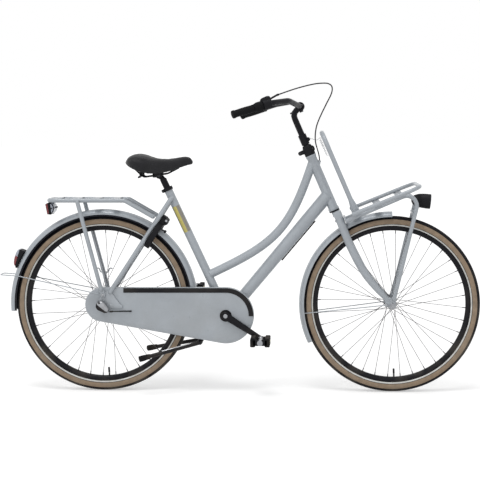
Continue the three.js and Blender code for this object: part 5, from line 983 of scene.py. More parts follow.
def stem_shape():
    body = tube([vec(0, 0, COVER_FOOT + COVER_HEIGHT + CLEARANCE), vec(0, 0, 400), vec(1.5, 0, 413),
                 vec(9, 0, 425), vec(20, 0, 431), CLAMP_PLACE], 24.5, 28, dome=0.2)
    top = lathe([(0, 425), (9.5, 425), (9.5, 430), (8.5, 431.5), (0, 431.5)], ORIGIN, UP, 32, finish=1)
    quill = disc(11.1, vec(0, 0, COVER_FOOT - 120), UP, 170, 40)
    edge = [(11.4, -CLAMP_HALF), (16.5, -CLAMP_HALF), (CLAMP_RADIUS, 1.5 - CLAMP_HALF)]
    clamp = lathe([*edge, *[(r, -y) for r, y in reversed(edge)]], CLAMP_PLACE, SIDE, 48)
    ear = block((16, 30, 9), CLAMP_PLACE + vec(-3, 0, -19), 2)
    band = hoop(16.5, 11.5, vec(0, 0, SPRING_FOOT), UP, 44, 48, edge=1)
    round_side = arc(0, 0, BALL_RADIUS, radians(-75), radians(75), 15)
    ball = lathe([(0, -BALL_RADIUS), *round_side, (0, BALL_RADIUS)], SPRING_BALL, UP, 32)
    pinch = bolt(CLAMP_PLACE + vec(-3, -15, -19), -SIDE, 4)
    return joined(body, top, quill, clamp, ear, pinch, band, ball)


piece("stem_forged", stem_shape(), [black_lacquer, dark_steel], "steering", "stem", place=STEER)
piece("handlebar_bent", tube(bar_route(), BAR_DIAMETER, 28, dome=0.2), [black_lacquer], "steering",
      "handlebar", place=STEER)


def straight(side):
    _, start, end = bar_places(side)
    return start, end, (end - start).normalized()


def along_bar(side, share):
    start, end, _ = straight(side)
    return start.lerp(end, share)


def grip_shape(side, from_share):
    """A grip with a palm swell, raised rings and an end cap."""
    start, way = along_bar(side, from_share), straight(side)[2]
    run = (along_bar(side, 1) - start).length
    steps = 66
    profile = [(11.7, 0.5), (14.6, 0), (15, 1), (15, 4)]
    for i in range(steps + 1):
        t = i / steps
        swell = 14.2 + 1.1 * sin(pi * min(1.0, t * 1.1)) ** 0.8
        rib = 0.55 if i % 3 == 0 and 0.12 < t < 0.9 else 0.0
        profile.append((swell - rib, 5 + (run - 10) * t))
    cap = [(15.4, -3), (15.8, -1), (15.8, 5), (15, 7.4), (13.5, 8), (0, 8), (0, 0.5), (11.7, 0.5)]
    return lathe(profile + [(r, run + along) for r, along in cap], start, way, 40)


piece("grip_left_ribbed", grip_shape(1, 0.3), [grip_rubber], "steering", "grip_left", place=STEER)
piece("grip_right_ribbed", grip_shape(-1, 0.49), [grip_rubber], "steering", "grip_right", place=STEER)


def twist_shape():
    """The turning sleeve: ridges to hold, then a cone down to the grip."""
    start, way = along_bar(-1, 0.25), straight(-1)[2]
    run = (along_bar(-1, 0.48) - start).length
    ridges, rings = 20, []
    turn = SIDE.rotation_difference(way)
    outline = [(12.2, 0, 0), (17.6, 0, 0), (18.6, 1.2, 1), (18.6, run * 0.6, 1), (17.2, run * 0.72, 0.6),
               (15, run * 0.96, 0), (14.4, run, 0), (12.2, run, 0)]
    for i in range(ridges * 6):
        angle = tau * i / (ridges * 6)
        lift = 0.45 * cos(ridges * angle)
        rings.append([start + turn @ vec((r + lift * k) * cos(angle), y, (r + lift * k) * sin(angle))
                      for r, y, k in outline])
    return loft(rings, looped=True)


piece("shifter_twist_ridged", twist_shape(), [grip_rubber], "shifter_twist", "shifter_twist", place=STEER)

CABLE_DIAMETER = 5.0
CABLE_PLACES = [Vector(p) for p in (
    (-16, -215, 511), (43, -200, 507), (92, -182, 501), (134, -162, 493), (161, -146, 484),
    (177, -130, 476), (186, -115, 464), (185, -102, 452), (175, -86, 436), (145, -62, 410),
    (103, -42, 374), (70, -28, 341), (50, -19, 309), (39, -12, 280), (35, -6, 252), (31, -2, 226),
)]
PORT_END = STEER.inverted() @ (on_head(PORT_HEIGHT, 16) + PORT_WAY * 18.6)


def housing_shape():
    """The shifter's drum with a raised gear window and the cable's spout."""
    start, way = along_bar(-1, 0.03), straight(-1)[2]
    run = (along_bar(-1, 0.24) - start).length
    middle = start + way * (run / 2)
    drum = lathe([(11.7, 0), (19.5, 0), (21, 1.5), (21, run - 1.5), (19.8, run), (11.7, run)], start, way, 48)
    lean = Quaternion(UP, atan2(way.y, way.x))
    window_at = middle + way * -4 + vec(0, 0, 14)
    window = block((42, 28, 30), window_at, 9, lean)
    pane = block((20, 15, 1.6), window_at + vec(0, 0, 14.8), 0.7, lean, finish=1)
    ticks = [block((1.2, 5, 0.5), window_at + lean @ vec(-6 + 6 * i, 0, 15.6), 0, lean, finish=2)
             for i in range(3)]
    spout_way = (CABLE_PLACES[1] - CABLE_PLACES[0]).normalized()
    spout_end = CABLE_PLACES[0] - spout_way * CLEARANCE
    spout_start = spout_end - spout_way * 9
    root = vec(middle.x, middle.y, spout_end.z - 6)
    ribs = [disc(4.6, spout_start + spout_way * (1 + 2.6 * i), spout_way, 1.4, 24, edge=0.3)
            for i in range(3)]
    spout = tube([root, spout_start, spout_end], 7.6, 20)
    return joined(drum, window, pane, *ticks, spout, *ribs)


piece("shifter_housing_moulded", housing_shape(), [black_plastic, clear_lens, line_rubber], "steering",
      "shifter_housing", place=STEER)

# The cable curves between the bar and the head tube; it rides on no body
cable_route = [STEER @ p for p in smooth_route([*CABLE_PLACES, PORT_END], 6)]
cable = piece("shift_cable_sheathed", tube(cable_route, CABLE_DIAMETER, 14, dome=0.2), [black_plastic],
              None, "shift_cable")
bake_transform(cable)


# front carrier, upright, spring
RAIL_SPREAD, RAIL_REAR, RAIL_FRONT = 180.0, vec(64, 0, -34), vec(349, 0, -40)
SLAT_SHARES = (0.049, 0.372, 0.709)
LEG_SPREAD, LEG_DROP = 66.0, 56.0
LEG_CORNER = vec(354, LEG_SPREAD, -LEG_DROP)
LEG_END = vec(FORK_RAKE, LEG_SPREAD, -FORK_LENGTH)
LEG_LINE = (LEG_END - LEG_CORNER).normalized()
LAMP_PIVOT = spread(LEG_CORNER + LEG_LINE * ((133 - LEG_DROP) / -LEG_LINE.z), 0)


def front_carrier_shape():
    near = [spread(RAIL_REAR, RAIL_SPREAD), spread(RAIL_FRONT, RAIL_SPREAD)]
    parts = [tube(rounded(there_and_back(near), 55), 16, dome=0.7)]
    for share in SLAT_SHARES:
        at = RAIL_REAR.lerp(RAIL_FRONT, share)
        parts.append(block((30, 2 * RAIL_SPREAD, 5), vec(at.x, 0, at.z - 8.5), 1.2))
    plate_at = CROWN_AHEAD + CROWN_DEPTH / 2 + CLEARANCE + 3.5
    parts.append(block((7, 2 * LEG_SPREAD + 17, 26), vec(plate_at, 0, -52.3), 2))
    parts.append(block((3, 2 * LEG_SPREAD, 16), vec(LAMP_PIVOT.x - 12, 0, LAMP_PIVOT.z), 1))
    tube_end = LEG_END - LEG_LINE * 28
    start = vec(plate_at + 3.5, LEG_SPREAD, -LEG_DROP)
    leg = tube(rounded([start, LEG_CORNER, tube_end], 40), 17, TUBE_SIDES, dome=0.7)
    turn = atan2(-LEG_LINE.z, -LEG_LINE.x)
    foot = plate(link(LEG_END, 11, tube_end, 11, turn, 14), 55.6, 3, 0.8)
    neck = rod(spread(tube_end, 57), spread(tube_end, LEG_SPREAD), 16, dome=0.6)
    ear = block((20, 3, 16), LAMP_PIVOT + vec(-2, 11.5, 0), 1)
    slat_bolts = [bolt(spread(RAIL_REAR.lerp(RAIL_FRONT, share), 150) - UP * 6, UP, 4)
                  for share in SLAT_SHARES[1:]]
    return joined(*parts, both_sides(joined(leg, foot, neck, ear, *slat_bolts)))


piece("front_carrier_welded", front_carrier_shape(), [grey_lacquer, silver], "steering", "front_carrier",
      place=STEER)
UPRIGHT_AHEAD, UPRIGHT_SPREAD, UPRIGHT_TOP = 78.0, 100.0, 306.0
UPRIGHT_FOOT = RAIL_REAR.lerp(RAIL_FRONT, SLAT_SHARES[0]).z - 8 + 2 + CLEARANCE


def upright_shape():
    low = UPRIGHT_FOOT + 2
    loop = rounded(there_and_back([vec(UPRIGHT_AHEAD, -UPRIGHT_SPREAD, z) for z in (low, UPRIGHT_TOP)]), 60)
    gusset = plate([(UPRIGHT_AHEAD + x, UPRIGHT_FOOT + z) for x, z in (
        (-17, 0), (17, 0), (17, 4), (9.5, 50), (-9.5, 50), (-17, 4))], UPRIGHT_SPREAD - 2, 4, 0.8)
    sole = block((34, 34, 4), vec(UPRIGHT_AHEAD, UPRIGHT_SPREAD, UPRIGHT_FOOT + 2), 1)
    heads = [bolt(vec(UPRIGHT_AHEAD + x, UPRIGHT_SPREAD + 9, UPRIGHT_FOOT + 4), UP, 4.5) for x in (-10, 10)]
    crossbar = rod(*[vec(UPRIGHT_AHEAD, side * UPRIGHT_SPREAD, 209.5) for side in (-1, 1)], 8)
    return joined(tube(loop, 19), crossbar, both_sides(joined(gusset, sole, *heads)))


piece("carrier_upright_bent", upright_shape(), [grey_lacquer, silver], "steering", "carrier_upright",
      place=STEER)


def spring_shape():
    wire, radius, turns, top, bottom = 1.8, 3.6, 10, 284.0, 214.0
    ahead = UPRIGHT_AHEAD - 17
    coil = []
    for i in range(turns * 20 + 1):
        angle = tau * i / 20
        coil.append(vec(ahead + radius * cos(angle), radius * sin(angle),
                            top - (top - bottom) * i / (turns * 20)))
    ball = SPRING_BALL + FORWARD * (BALL_RADIUS + CLEARANCE + wire / 2)
    lead = smooth_route([ball, vec(ahead - 11, 0, top + 3.5), vec(ahead + radius, 0, top + 7), coil[0]], 8)
    return tube([*lead[:-1], *coil, vec(ahead + radius, 0, bottom - 3.5)], wire, 10, dome=0.8)


piece("carrier_spring_wound", spring_shape(), [silver], "steering", "carrier_spring", place=STEER)


# headlamp
LAMP_RADIUS, LAMP_LENGTH = 30.0, 78.0
LAMP_TILT = radians(29.3)
LAMP_AXIS = vec(cos(LAMP_TILT), 0, -sin(LAMP_TILT))
LAMP_FACE = vec(337, 0, -104) + LAMP_AXIS * LAMP_LENGTH / 2
LAMP_BACK = LAMP_FACE - LAMP_AXIS * LAMP_LENGTH
SHELL_SHARES = ((0, 0), (0.16, 0.004), (0.3, 0.018), (0.52, 0.07), (0.68, 0.15), (0.8, 0.25), (0.9, 0.38),
                (0.965, 0.55), (0.99, 0.7), (1, 0.8), (1, 0.985), (0.985, 1))


def headlamp_shape():
    shell = [(LAMP_RADIUS * r, LAMP_LENGTH * a) for r, a in SHELL_SHARES]
    inside = [(LAMP_RADIUS - 3, LAMP_LENGTH), (LAMP_RADIUS - 3, LAMP_LENGTH - 6), (0, LAMP_LENGTH - 6)]
    bowl = lathe([*shell, *inside], LAMP_BACK, LAMP_AXIS, 72)
    trim = hoop(LAMP_RADIUS - 0.1, LAMP_RADIUS - 2.6, LAMP_FACE - LAMP_AXIS * 2.5, LAMP_AXIS, 2.6, 72, 1, 0.5)
    stem_top = LAMP_BACK.lerp(LAMP_FACE, 0.55)
    stem = tube([LAMP_PIVOT, stem_top], 14, 20)
    knuckle = rod(LAMP_PIVOT - SIDE * 9.5, LAMP_PIVOT + SIDE * 9.5, 14)
    pin = rod(LAMP_PIVOT - SIDE * 15.5, LAMP_PIVOT + SIDE * 15.5, 7.6, finish=1)
    return joined(bowl, trim, stem, knuckle, pin, bolt_pair(LAMP_PIVOT, 13.1, 4.6))


def lamp_lens_shape():
    radius = LAMP_RADIUS - 3 - CLEARANCE
    profile = [(0, 0), (radius, 0), (radius, 4)]
    profile += [(radius * (1 - i / 12), 4 + 1.5 * (1 - (1 - i / 12) ** 2)) for i in range(1, 12)]
    profile.append((0, 5.5))
    return lathe(profile, LAMP_FACE + LAMP_AXIS * (CLEARANCE - 6), LAMP_AXIS, 64)


piece("headlamp_bowl", headlamp_shape(), [black_plastic, silver], "headlamp", "headlamp", place=STEER)
piece("headlamp_lens_fluted", lamp_lens_shape(), [clear_lens], "headlamp", "headlamp_lens", place=STEER)


# saddle and post
POST_TOP = on_seat(608)
SEAT_HEAD = POST_TOP + vec(-14, 0, 14)
SADDLE_WIDTH = 190.0
SADDLE_SHARES = (0, 0.04, 0.1, 0.18, 0.3, 0.45, 0.6, 0.75, 0.88, 0.96, 1)
SADDLE_TOP = (0.64, 0.85, 0.96, 1, 0.93, 0.78, 0.75, 0.8, 0.87, 0.82, 0.66)
SADDLE_BOTTOM = (0.52, 0.42, 0.3, 0.18, 0.05, 0, 0.06, 0.2, 0.36, 0.42, 0.48)
SADDLE_HALF = (0.42, 0.72, 0.92, 1, 0.93, 0.62, 0.38, 0.28, 0.25, 0.2, 0.1)
SADDLE_GROOVE = (0, 0.05, 0.14, 0.18, 0.14, 0.06, 0.03, 0, 0, 0, 0)
SADDLE_SECTION = ((0.3, 1), (0.62, 0.96), (0.86, 0.84), (1, 0.55), (0.96, 0.22), (0.9, 0.03))


def saddle_at(length_share, height_share, y):
    return SEAT_HEAD + vec(273 * length_share - 136, y, 5 + 83 * height_share)


def clamp_shape():
    collar = lathe([(17.2, 555.5), (20.4, 555.5), (21, 556.3), (21, 568.7), (20.4, 569.5), (17.2, 569.5)],
                   on_seat(0), SEAT_AXIS, 56)
    middle = 562.5
    lug = tube([on_seat(middle, -16), on_seat(middle, -25)], 13, 20, dome=0.3)
    pin = rod(on_seat(middle, -21) - SIDE * 14, on_seat(middle, -21) + SIDE * 14, 9, dome=0.1)
    return joined(collar, lug, pin, bolt_pair(on_seat(middle, -21), 13, 4.6))


def post_shape():
    shaft = rod(on_seat(438), POST_TOP, 27.2, 40)
    neck = tube([POST_TOP - SEAT_AXIS * 6, POST_TOP, SEAT_HEAD], 21.8, 28, dome=0.3)
    head = lathe([(0, -29), (11.2, -29), (12, -28), (12, 28), (11.2, 29), (0, 29)], SEAT_HEAD, SIDE, 40)
    grooves = [hoop(12.6, 11.6, SEAT_HEAD + SIDE * y, SIDE, 3, 40, edge=0.3) for y in (-20, -1.5, 17)]
    cradle = block((34, 50, 15), SEAT_HEAD + vec(-2, 0, 7), 3)
    pinch = block((15, 30, 18), SEAT_HEAD + vec(-20, 0, 1), 3)
    return joined(shaft, neck, head, cradle, pinch, *grooves, bolt_pair(SEAT_HEAD, 27.5, 7))


def rails_shape():
    corners = [saddle_at(0.78, 0.31, 9), saddle_at(0.62, 0.04, 22), saddle_at(0.27, -0.13, 22),
               saddle_at(0.14, 0.3, 36)]
    rail = tube(rounded(corners, 18, 8), 7, 18, dome=0.6)
    rods = [rod(spread(corners[i], -corners[i].y), corners[i], 6.6, 16) for i in (0, 3)]
    foot = saddle_at(0.235, -0.06, 27)
    bumper = lathe([(0, 0), (6.4, 0), (7.4, 1), (7.4, 3.4), (5.6, 4.6), (7.4, 5.8), (7.4, 8.2), (5.6, 9.4),
                    (7.4, 10.6), (7.4, 13), (6.4, 14), (0, 14)], foot - UP * 3, UP, 28)
    bar = rod(saddle_at(0.2, -0.13, -30), saddle_at(0.2, -0.13, 30), 8, 18, dome=0.4)
    return joined(both_sides(joined(rail, bumper)), bar, *rods)


def saddle_shape():
    """The saddle's skin: rows along it, each a closed section from groove to underside."""
    fine = 44
    rings = []
    for i in range(fine + 1):
        share = 0.5 - 0.5 * cos(pi * i / fine)
        top, bottom, half, groove = (eased(SADDLE_SHARES, values, share) for values in (
            SADDLE_TOP, SADDLE_BOTTOM, SADDLE_HALF, SADDLE_GROOVE))
        height = top - bottom
        half *= SADDLE_WIDTH / 2
        side = [(half * y, bottom + height * z) for y, z in SADDLE_SECTION]
        middle = [(0, bottom + height * (1 - groove * 0.6))]
        under = [(half * 0.6, bottom + height * 0.14), (0, bottom + height * 0.2)]
        outline = middle + side + under + [(-y, z) for y, z in reversed(side + under[:1])]
        rings.append([saddle_at(share, z, y) for y, z in outline])
    return loft(rings)


def eased(shares, values, share):
    """A value between the listed stations, by a smooth step through them."""
    for i in range(len(shares) - 1):
        if share <= shares[i + 1]:
            before = values[max(i - 1, 0)]
            after = values[min(i + 2, len(values) - 1)]
            t = (share - shares[i]) / (shares[i + 1] - shares[i])
            a, b = values[i], values[i + 1]
            slope_a, slope_b = (b - before) / 2, (after - a) / 2
            low, high = min(a, b), max(a, b)
            cubic = ((2 * t ** 3 - 3 * t ** 2 + 1) * a + (t ** 3 - 2 * t ** 2 + t) * slope_a
                     + (3 * t ** 2 - 2 * t ** 3) * b + (t ** 3 - t ** 2) * slope_b)
            return min(max(cubic, low), high)
    return values[-1]


piece("seat_clamp_turned", clamp_shape(), [black_plastic, dark_steel], "frame", "seat_clamp")
piece("seat_post_lacquered", post_shape(), [black_lacquer, dark_steel], "saddle_post", "seat_post")
piece("saddle_rails_bent", rails_shape(), [black_lacquer], "saddle_post", "saddle_rails")


def padded_out(shape, voxel=0.005, pressure=5.0, cap=0.007):
    """The shape as it swells under pressure: remeshed, inflated as cloth, and capped."""
    before = {obj.name for obj in bpy.data.objects}
    middle = sum(shape.points, Vector()) / len(shape.points)
    shrunk = Matrix.Diagonal((0.995, 0.98, 0.995, 1))
    small = shape.moved(Matrix.Translation(middle) @ shrunk @ Matrix.Translation(-middle))
    mesh = bpy.data.meshes.new("saddle_blank")
    mesh.from_pydata([p * MM for p in small.points], [], small.faces)
    blank = placed("saddle_blank", mesh)
    remesh = blank.modifiers.new("remesh", "REMESH")
    remesh.mode, remesh.voxel_size = "VOXEL", voxel
    blank.data = applied(blank)
    blank.modifiers.clear()
    start = [v.co.copy() for v in blank.data.vertices]
    lowest = {}
    for v in start:
        station = round(v.x / 0.01)
        lowest[station] = min(lowest.get(station, v.z), v.z)
    held = blank.vertex_groups.new(name="underside")
    held.add([i for i, v in enumerate(start) if v.z < lowest[round(v.x / 0.01)] + 0.008], 1.0, "REPLACE")
    cloth = blank.modifiers.new("cloth", "CLOTH")
    cloth.settings.use_pressure = True
    cloth.settings.uniform_pressure_force = pressure
    cloth.settings.effector_weights.gravity = 0
    cloth.settings.vertex_group_mass = "underside"
    cloth.settings.quality = 5
    cloth.point_cache.frame_start, cloth.point_cache.frame_end = 1, 20
    for number in range(1, 21):
        scene.frame_set(number)
    swollen = applied(blank)
    scene.frame_set(1)
    steps = [v.co - old for v, old in zip(swollen.vertices, start)]
    points = [(old + step.normalized() * min(step.length, cap)) / MM for old, step in zip(start, steps)]
    faces = [list(p.vertices) for p in swollen.polygons]
    result = Shape(points, faces, [0] * len(faces))
    for name in {obj.name for obj in bpy.data.objects} - before:
        bpy.data.objects.remove(bpy.data.objects[name])
    return result


def applied(obj):
    """The object's mesh with its modifiers applied."""
    bpy.context.view_layer.update()
    depsgraph = bpy.context.evaluated_depsgraph_get()
    return bpy.data.meshes.new_from_object(obj.evaluated_get(depsgraph), depsgraph=depsgraph)


saddle_skin = padded_out(saddle_shape())
saddle = piece("saddle_padded", saddle_skin, [saddle_hide], "saddle_post", "saddle", smooth=radians(80),
               levels=1)


# rear carrier, lamp, reflector
CARRIER_TOP, CARRIER_BACK = 781.0, -769.5
STRAP_PLACES = (-498, -578, -658, -738)


def rear_carrier_shape():
    corners = [vec(-345, 61.5, 716), vec(-458, 65, CARRIER_TOP), vec(CARRIER_BACK, 65, CARRIER_TOP)]
    rails = tube(rounded(there_and_back(corners), 30), 17, dome=0.6)
    straps = [block((30, 132, 4), vec(x, 0, CARRIER_TOP + 6.6), 1.2) for x in STRAP_PLACES]
    inner = [rod(vec(-470, y, CARRIER_TOP), vec(CARRIER_BACK, y, CARRIER_TOP), 8) for y in (-24, 24)]
    corner, foot = vec(-649, 80, CARRIER_TOP), vec(-548, 80, 399)
    line = (foot - corner).normalized()
    strut = tube([corner + line * 4, foot - line * 24], 16.7, TUBE_SIDES, dome=0.9)
    turn = atan2(-line.z, -line.x)
    near = foot - line * 24
    plate_shape = plate(link(foot, 10, near, 9, turn, 14), 70.9, 4, 0.8)
    top_link = rod(spread(corner, 62) - UP * 4, corner - UP * 3, 12, dome=0.5)
    head = bolt(spread(foot, 74.9), SIDE, 6)
    tab = plate([*arc(-345, 716, 9, 0, tau, 24)[:-1]], 50.5, 5, 0.8)
    legs = both_sides(joined(strut, plate_shape, top_link, head, tab))
    return joined(rails, *straps, *inner, legs, bag_hooks())


def bag_hooks():
    """Two bent hooks on the far strut."""
    root = vec(-568.2, 88.5, 475.4)
    parts = []
    for side in (-1, 1):
        route = rounded([
            root, root + vec(side * 16, 6, -2), root + vec(side * 22, 6, 16),
            root + vec(side * 32, 6, 14)], 6, 6)
        parts.append(tube(route, 5, 14, dome=0.8))
    return joined(*parts)


def reflector_at(back, down, y):
    return vec(-778 + 40 * back, y, 772.2 - 50 * down)


def reflector_slab(outline, half, edge, finish):
    ends = [[reflector_at(back, down, y) for back, down in outline] for y in (-half, half)]
    return softened(loft(ends, finish=finish), edge, 3)


def reflector_shape():
    """A slanted red lens, a black band and a clear dome, hung from a black tab."""
    red = reflector_slab([(-0.2, 0.14), (0.06, 0.04), (0.22, 0.98), (0.0, 0.98)], 42, 1.6, 1)
    band = reflector_slab([(0.06, 0.03), (0.22, 0.0), (0.36, 1.0), (0.2, 1.0)], 41, 1.2, 0)
    dome = reflector_slab([(0.2, 0.05), (0.4, 0.07), (0.56, 0.2), (0.66, 0.4), (0.66, 0.62), (0.56, 0.82),
                           (0.34, 0.98)], 38, 3.4, 2)
    tab = reflector_slab([(0.16, 0.0), (0.52, 0.0), (0.52, 0.1), (0.3, 0.3)], 9, 1.0, 0)
    screw = rod(reflector_at(0.6, 0.46, -7), reflector_at(0.92, 0.4, -7), 6, 20)
    return joined(red, band, dome, tab, screw, bolt(reflector_at(0.42, 0.5, -37), -SIDE, 3.2, 0))


piece("rear_carrier_welded", rear_carrier_shape(), [grey_lacquer, silver], "frame", "rear_carrier")
piece("carrier_reflector_lens", reflector_shape(), [black_plastic, red_lens, clear_lens], "frame",
      "carrier_reflector")

LENS_TILT = radians(16.4)
LENS_UP = vec(sin(LENS_TILT), 0, cos(LENS_TILT))
LENS_OUT = vec(-cos(LENS_TILT), 0, sin(LENS_TILT))
LENS_FACE = polar(412.9, radians(152.4))


def lens_at(up, out, y=0.0):
    return spread(LENS_FACE + LENS_UP * up + LENS_OUT * out, y)


def rear_lamp_shapes():
    seat = [polar(385.9, radians(152.4 + d)) for d in (6, 4, 2, 0, -2, -4, -6)]
    outline = [lens_at(35, -14.3), lens_at(-35, -14.3), *seat]
    housing = softened(loft([[spread(p, y) for p in outline] for y in (-26, 26)]), 2.4, 3)
    rows = []
    for i in range(15):
        up = -34 + 68 * i / 14
        bulge = 13.6 * sqrt(max(0.0, 1 - (up / 35) ** 2)) ** 0.7
        row = []
        for k in range(13):
            y = -25 + 50 * k / 12
            edge = sqrt(max(0.0, 1 - (y / 26) ** 4))
            row.append(lens_at(up, -14 + 13.8 * max(0.12, bulge / 13.6) * edge, y))
        rows.append([*row, lens_at(up, -14, 25), lens_at(up, -14, -25)])
    lens_shape = loft(rows)
    for i, face in enumerate(lens_shape.faces):
        lens_shape.finishes[i] = 1 if (lens_shape.middle(face) - LENS_FACE).dot(LENS_UP) > 4 else 0
    return housing, lens_shape


lamp_housing, lamp_glass = rear_lamp_shapes()
piece("rear_lamp_housing", lamp_housing, [black_plastic], "frame", "rear_lamp", place=REAR_HUB)
piece("rear_lamp_glass", lamp_glass, [red_lens, clear_lens], "frame", "rear_lamp_lens", place=REAR_HUB)


# ring lock
LOCK_CENTRE = vec(-345.3, 0, 639.6)
LOCK = frame_of(vec(0.838, 0, -0.545).normalized(), SIDE, vec(0.545, 0, 0.838).normalized(), LOCK_CENTRE)
LOCK_RADIUS = 58.0


def lock_ring(angle, radius, along=0.0):
    return vec(along, radius * cos(angle), radius * sin(angle))


def lock_shape():
    start, end, steps = radians(-63), radians(243), 60
    section = [(-12, -8), (-10.5, -9.5), (10.5, -9.5), (12, -8), (12, 8), (10.5, 9.5), (-10.5, 9.5), (-12, 8)]
    shoe = softened(loft([[lock_ring(start + (end - start) * i / steps, LOCK_RADIUS + r, along)
                           for along, r in section] for i in range(steps + 1)]), 0.8)
    outline = [(-36, 50), (36, 50), (36, 72), (32, 81), (24, 87), (-24, 87), (-32, 81), (-36, 72)]
    crown = softened(loft([[vec(x, y, z) for y, z in outline] for x in (-12, 9)]), 3, 3)
    hood = [vec(8, y, z) for y, z in ((-28, 54), (28, 54), (28, 70), (20, 82), (-20, 82), (-28, 70))]
    rim = [vec(19, p.y * 0.86, 67 + (p.z - 67) * 0.8) for p in hood]
    cover = softened(loft([hood, rim]), 2.4, 3)
    bar = rod(vec(12, -33, 76), vec(12, 33, 76), 15, 28, dome=0.3)
    ends = [disc(5.2, vec(12, 33.8 * s, 76), SIDE * s, 1.6, 28, 1, 0.4) for s in (-1, 1)]
    barrel = disc(9, vec(18, 12, 66), FORWARD, 3, 32, 1, 0.8)
    slot_mark = block((1, 2, 7), vec(21.2, 12, 66), 0.3, finish=2)
    return joined(shoe, crown, cover, bar, *ends, barrel, slot_mark)


def shackle_shape():
    route = [lock_ring(radians(109 + 130 * i / 40), LOCK_RADIUS) for i in range(41)]
    bar = tube(route, 8, 18, dome=0.3)
    root = lock_ring(radians(139), LOCK_RADIUS)
    tip = root + FORWARD * 28
    lever = rod(root, tip, 7, 18)
    knob = disc(6.5, tip - FORWARD * 1, FORWARD, 10, 32, 1, 2)
    return joined(bar, lever, knob)


piece("ring_lock_moulded", lock_shape(), [black_plastic, silver, dark_steel], "frame", "ring_lock_body",
      place=LOCK)
piece("lock_shackle_steel", shackle_shape(), [dark_steel, black_plastic], "lock_shackle", "lock_shackle",
      place=LOCK)


# chain guard and drive
GUARD_NEAR, GUARD_FAR = -58.0, -37.0
GUARD_FRONT, GUARD_BACK = 114.0, 70.0


def ring_hole(centre, radius, count):
    return [(centre.x + radius * cos(tau * i / count), centre.z + radius * sin(tau * i / count))
            for i in range(count)]


def guard_shape():
    """A pressed case: rounded rim, and openings for the crank and the rear axle."""
    mesh = bmesh.new()
    profile = [
        (14, GUARD_FAR), (1, GUARD_FAR), (0, GUARD_FAR - 1), (0, GUARD_NEAR + 5), (1.5, GUARD_NEAR + 1.6),
        (5, GUARD_NEAR), (24, GUARD_NEAR),
    ]
    inner_profile = [(24, GUARD_NEAR + 2), (5.4, GUARD_NEAR + 2), (2, GUARD_NEAR + 5.4), (2, GUARD_FAR - 2),
                     (14, GUARD_FAR - 2)]
    loops = [[mesh.verts.new(p) for p in side_ring(
        belt(BOTTOM_BRACKET, GUARD_FRONT - inset, REAR_AXLE, GUARD_BACK - inset, 48), y)]
        for inset, y in [*profile, *inner_profile]]
    count = len(loops[0])
    for i, (a, b) in enumerate(zip(loops, [*loops[1:], loops[0]])):
        if i != len(profile) - 1:
            bridge_loops(mesh, a, b, count)
    holes = [ring_hole(BOTTOM_BRACKET, 23, 40), ring_hole(REAR_AXLE, 22, 40)]
    for loop, y in ((loops[len(profile) - 1], GUARD_NEAR), (loops[len(profile)], GUARD_NEAR + 2)):
        edges = [mesh.edges.get((loop[i], loop[(i + 1) % count])) for i in range(count)]
        hole_verts = []
        for hole in holes:
            verts = [mesh.verts.new(p) for p in side_ring(hole, y)]
            hole_verts.append(verts)
            edges += [mesh.edges.new((verts[i], verts[(i + 1) % len(verts)])) for i in range(len(verts))]
        bmesh.ops.triangle_fill(mesh, edges=edges, use_beauty=True)
        if y == GUARD_NEAR:
            outer_holes = hole_verts
    for near, far in zip(outer_holes, hole_verts):
        bridge_loops(mesh, near, far, len(near))
    bmesh.ops.recalc_face_normals(mesh, faces=mesh.faces)
    return shape_of(mesh)


def bridge_loops(mesh, a, b, count):
    for i in range(count):
        k = (i + 1) % count
        mesh.faces.new((a[i], a[k], b[k], b[i]))


def guard_trim_shape():
    """The black strip along the top of the case."""
    lean = acos((GUARD_FRONT - GUARD_BACK) / (REAR_AXLE - BOTTOM_BRACKET).length)
    heading = atan2(REAR_AXLE.z - BOTTOM_BRACKET.z, REAR_AXLE.x - BOTTOM_BRACKET.x)
    tangent = heading - lean
    outer, inner = (arc(BOTTOM_BRACKET.x, BOTTOM_BRACKET.z, r, radians(-1), tangent, 40) for r in (112, 93))
    slope = (cos(tangent + pi / 2), sin(tangent + pi / 2))
    for row in (outer, inner):
        start = row[-1]
        run = (-467 - start[0]) / slope[0]
        row += [(start[0] + slope[0] * run * i / 8, start[1] + slope[1] * run * i / 8) for i in range(1, 9)]
    return loft([[vec(x * a + u * (1 - a), y, z * a + v * (1 - a)) for a, y in (
        (1, -58.3), (1, -59.3), (0.94, -59.9), (0.06, -59.9), (0, -59.3), (0, -58.3))]
        for (x, z), (u, v) in zip(outer, inner)])


piece("chain_guard_pressed", guard_shape(), [grey_lacquer], "frame", "chain_guard")
piece("chain_guard_trim_strip", guard_trim_shape(), [black_plastic], "frame", "chain_guard_trim")

CHAIN_Y = -45.0
FRONT_PITCH, REAR_PITCH = 76.9, 38.6


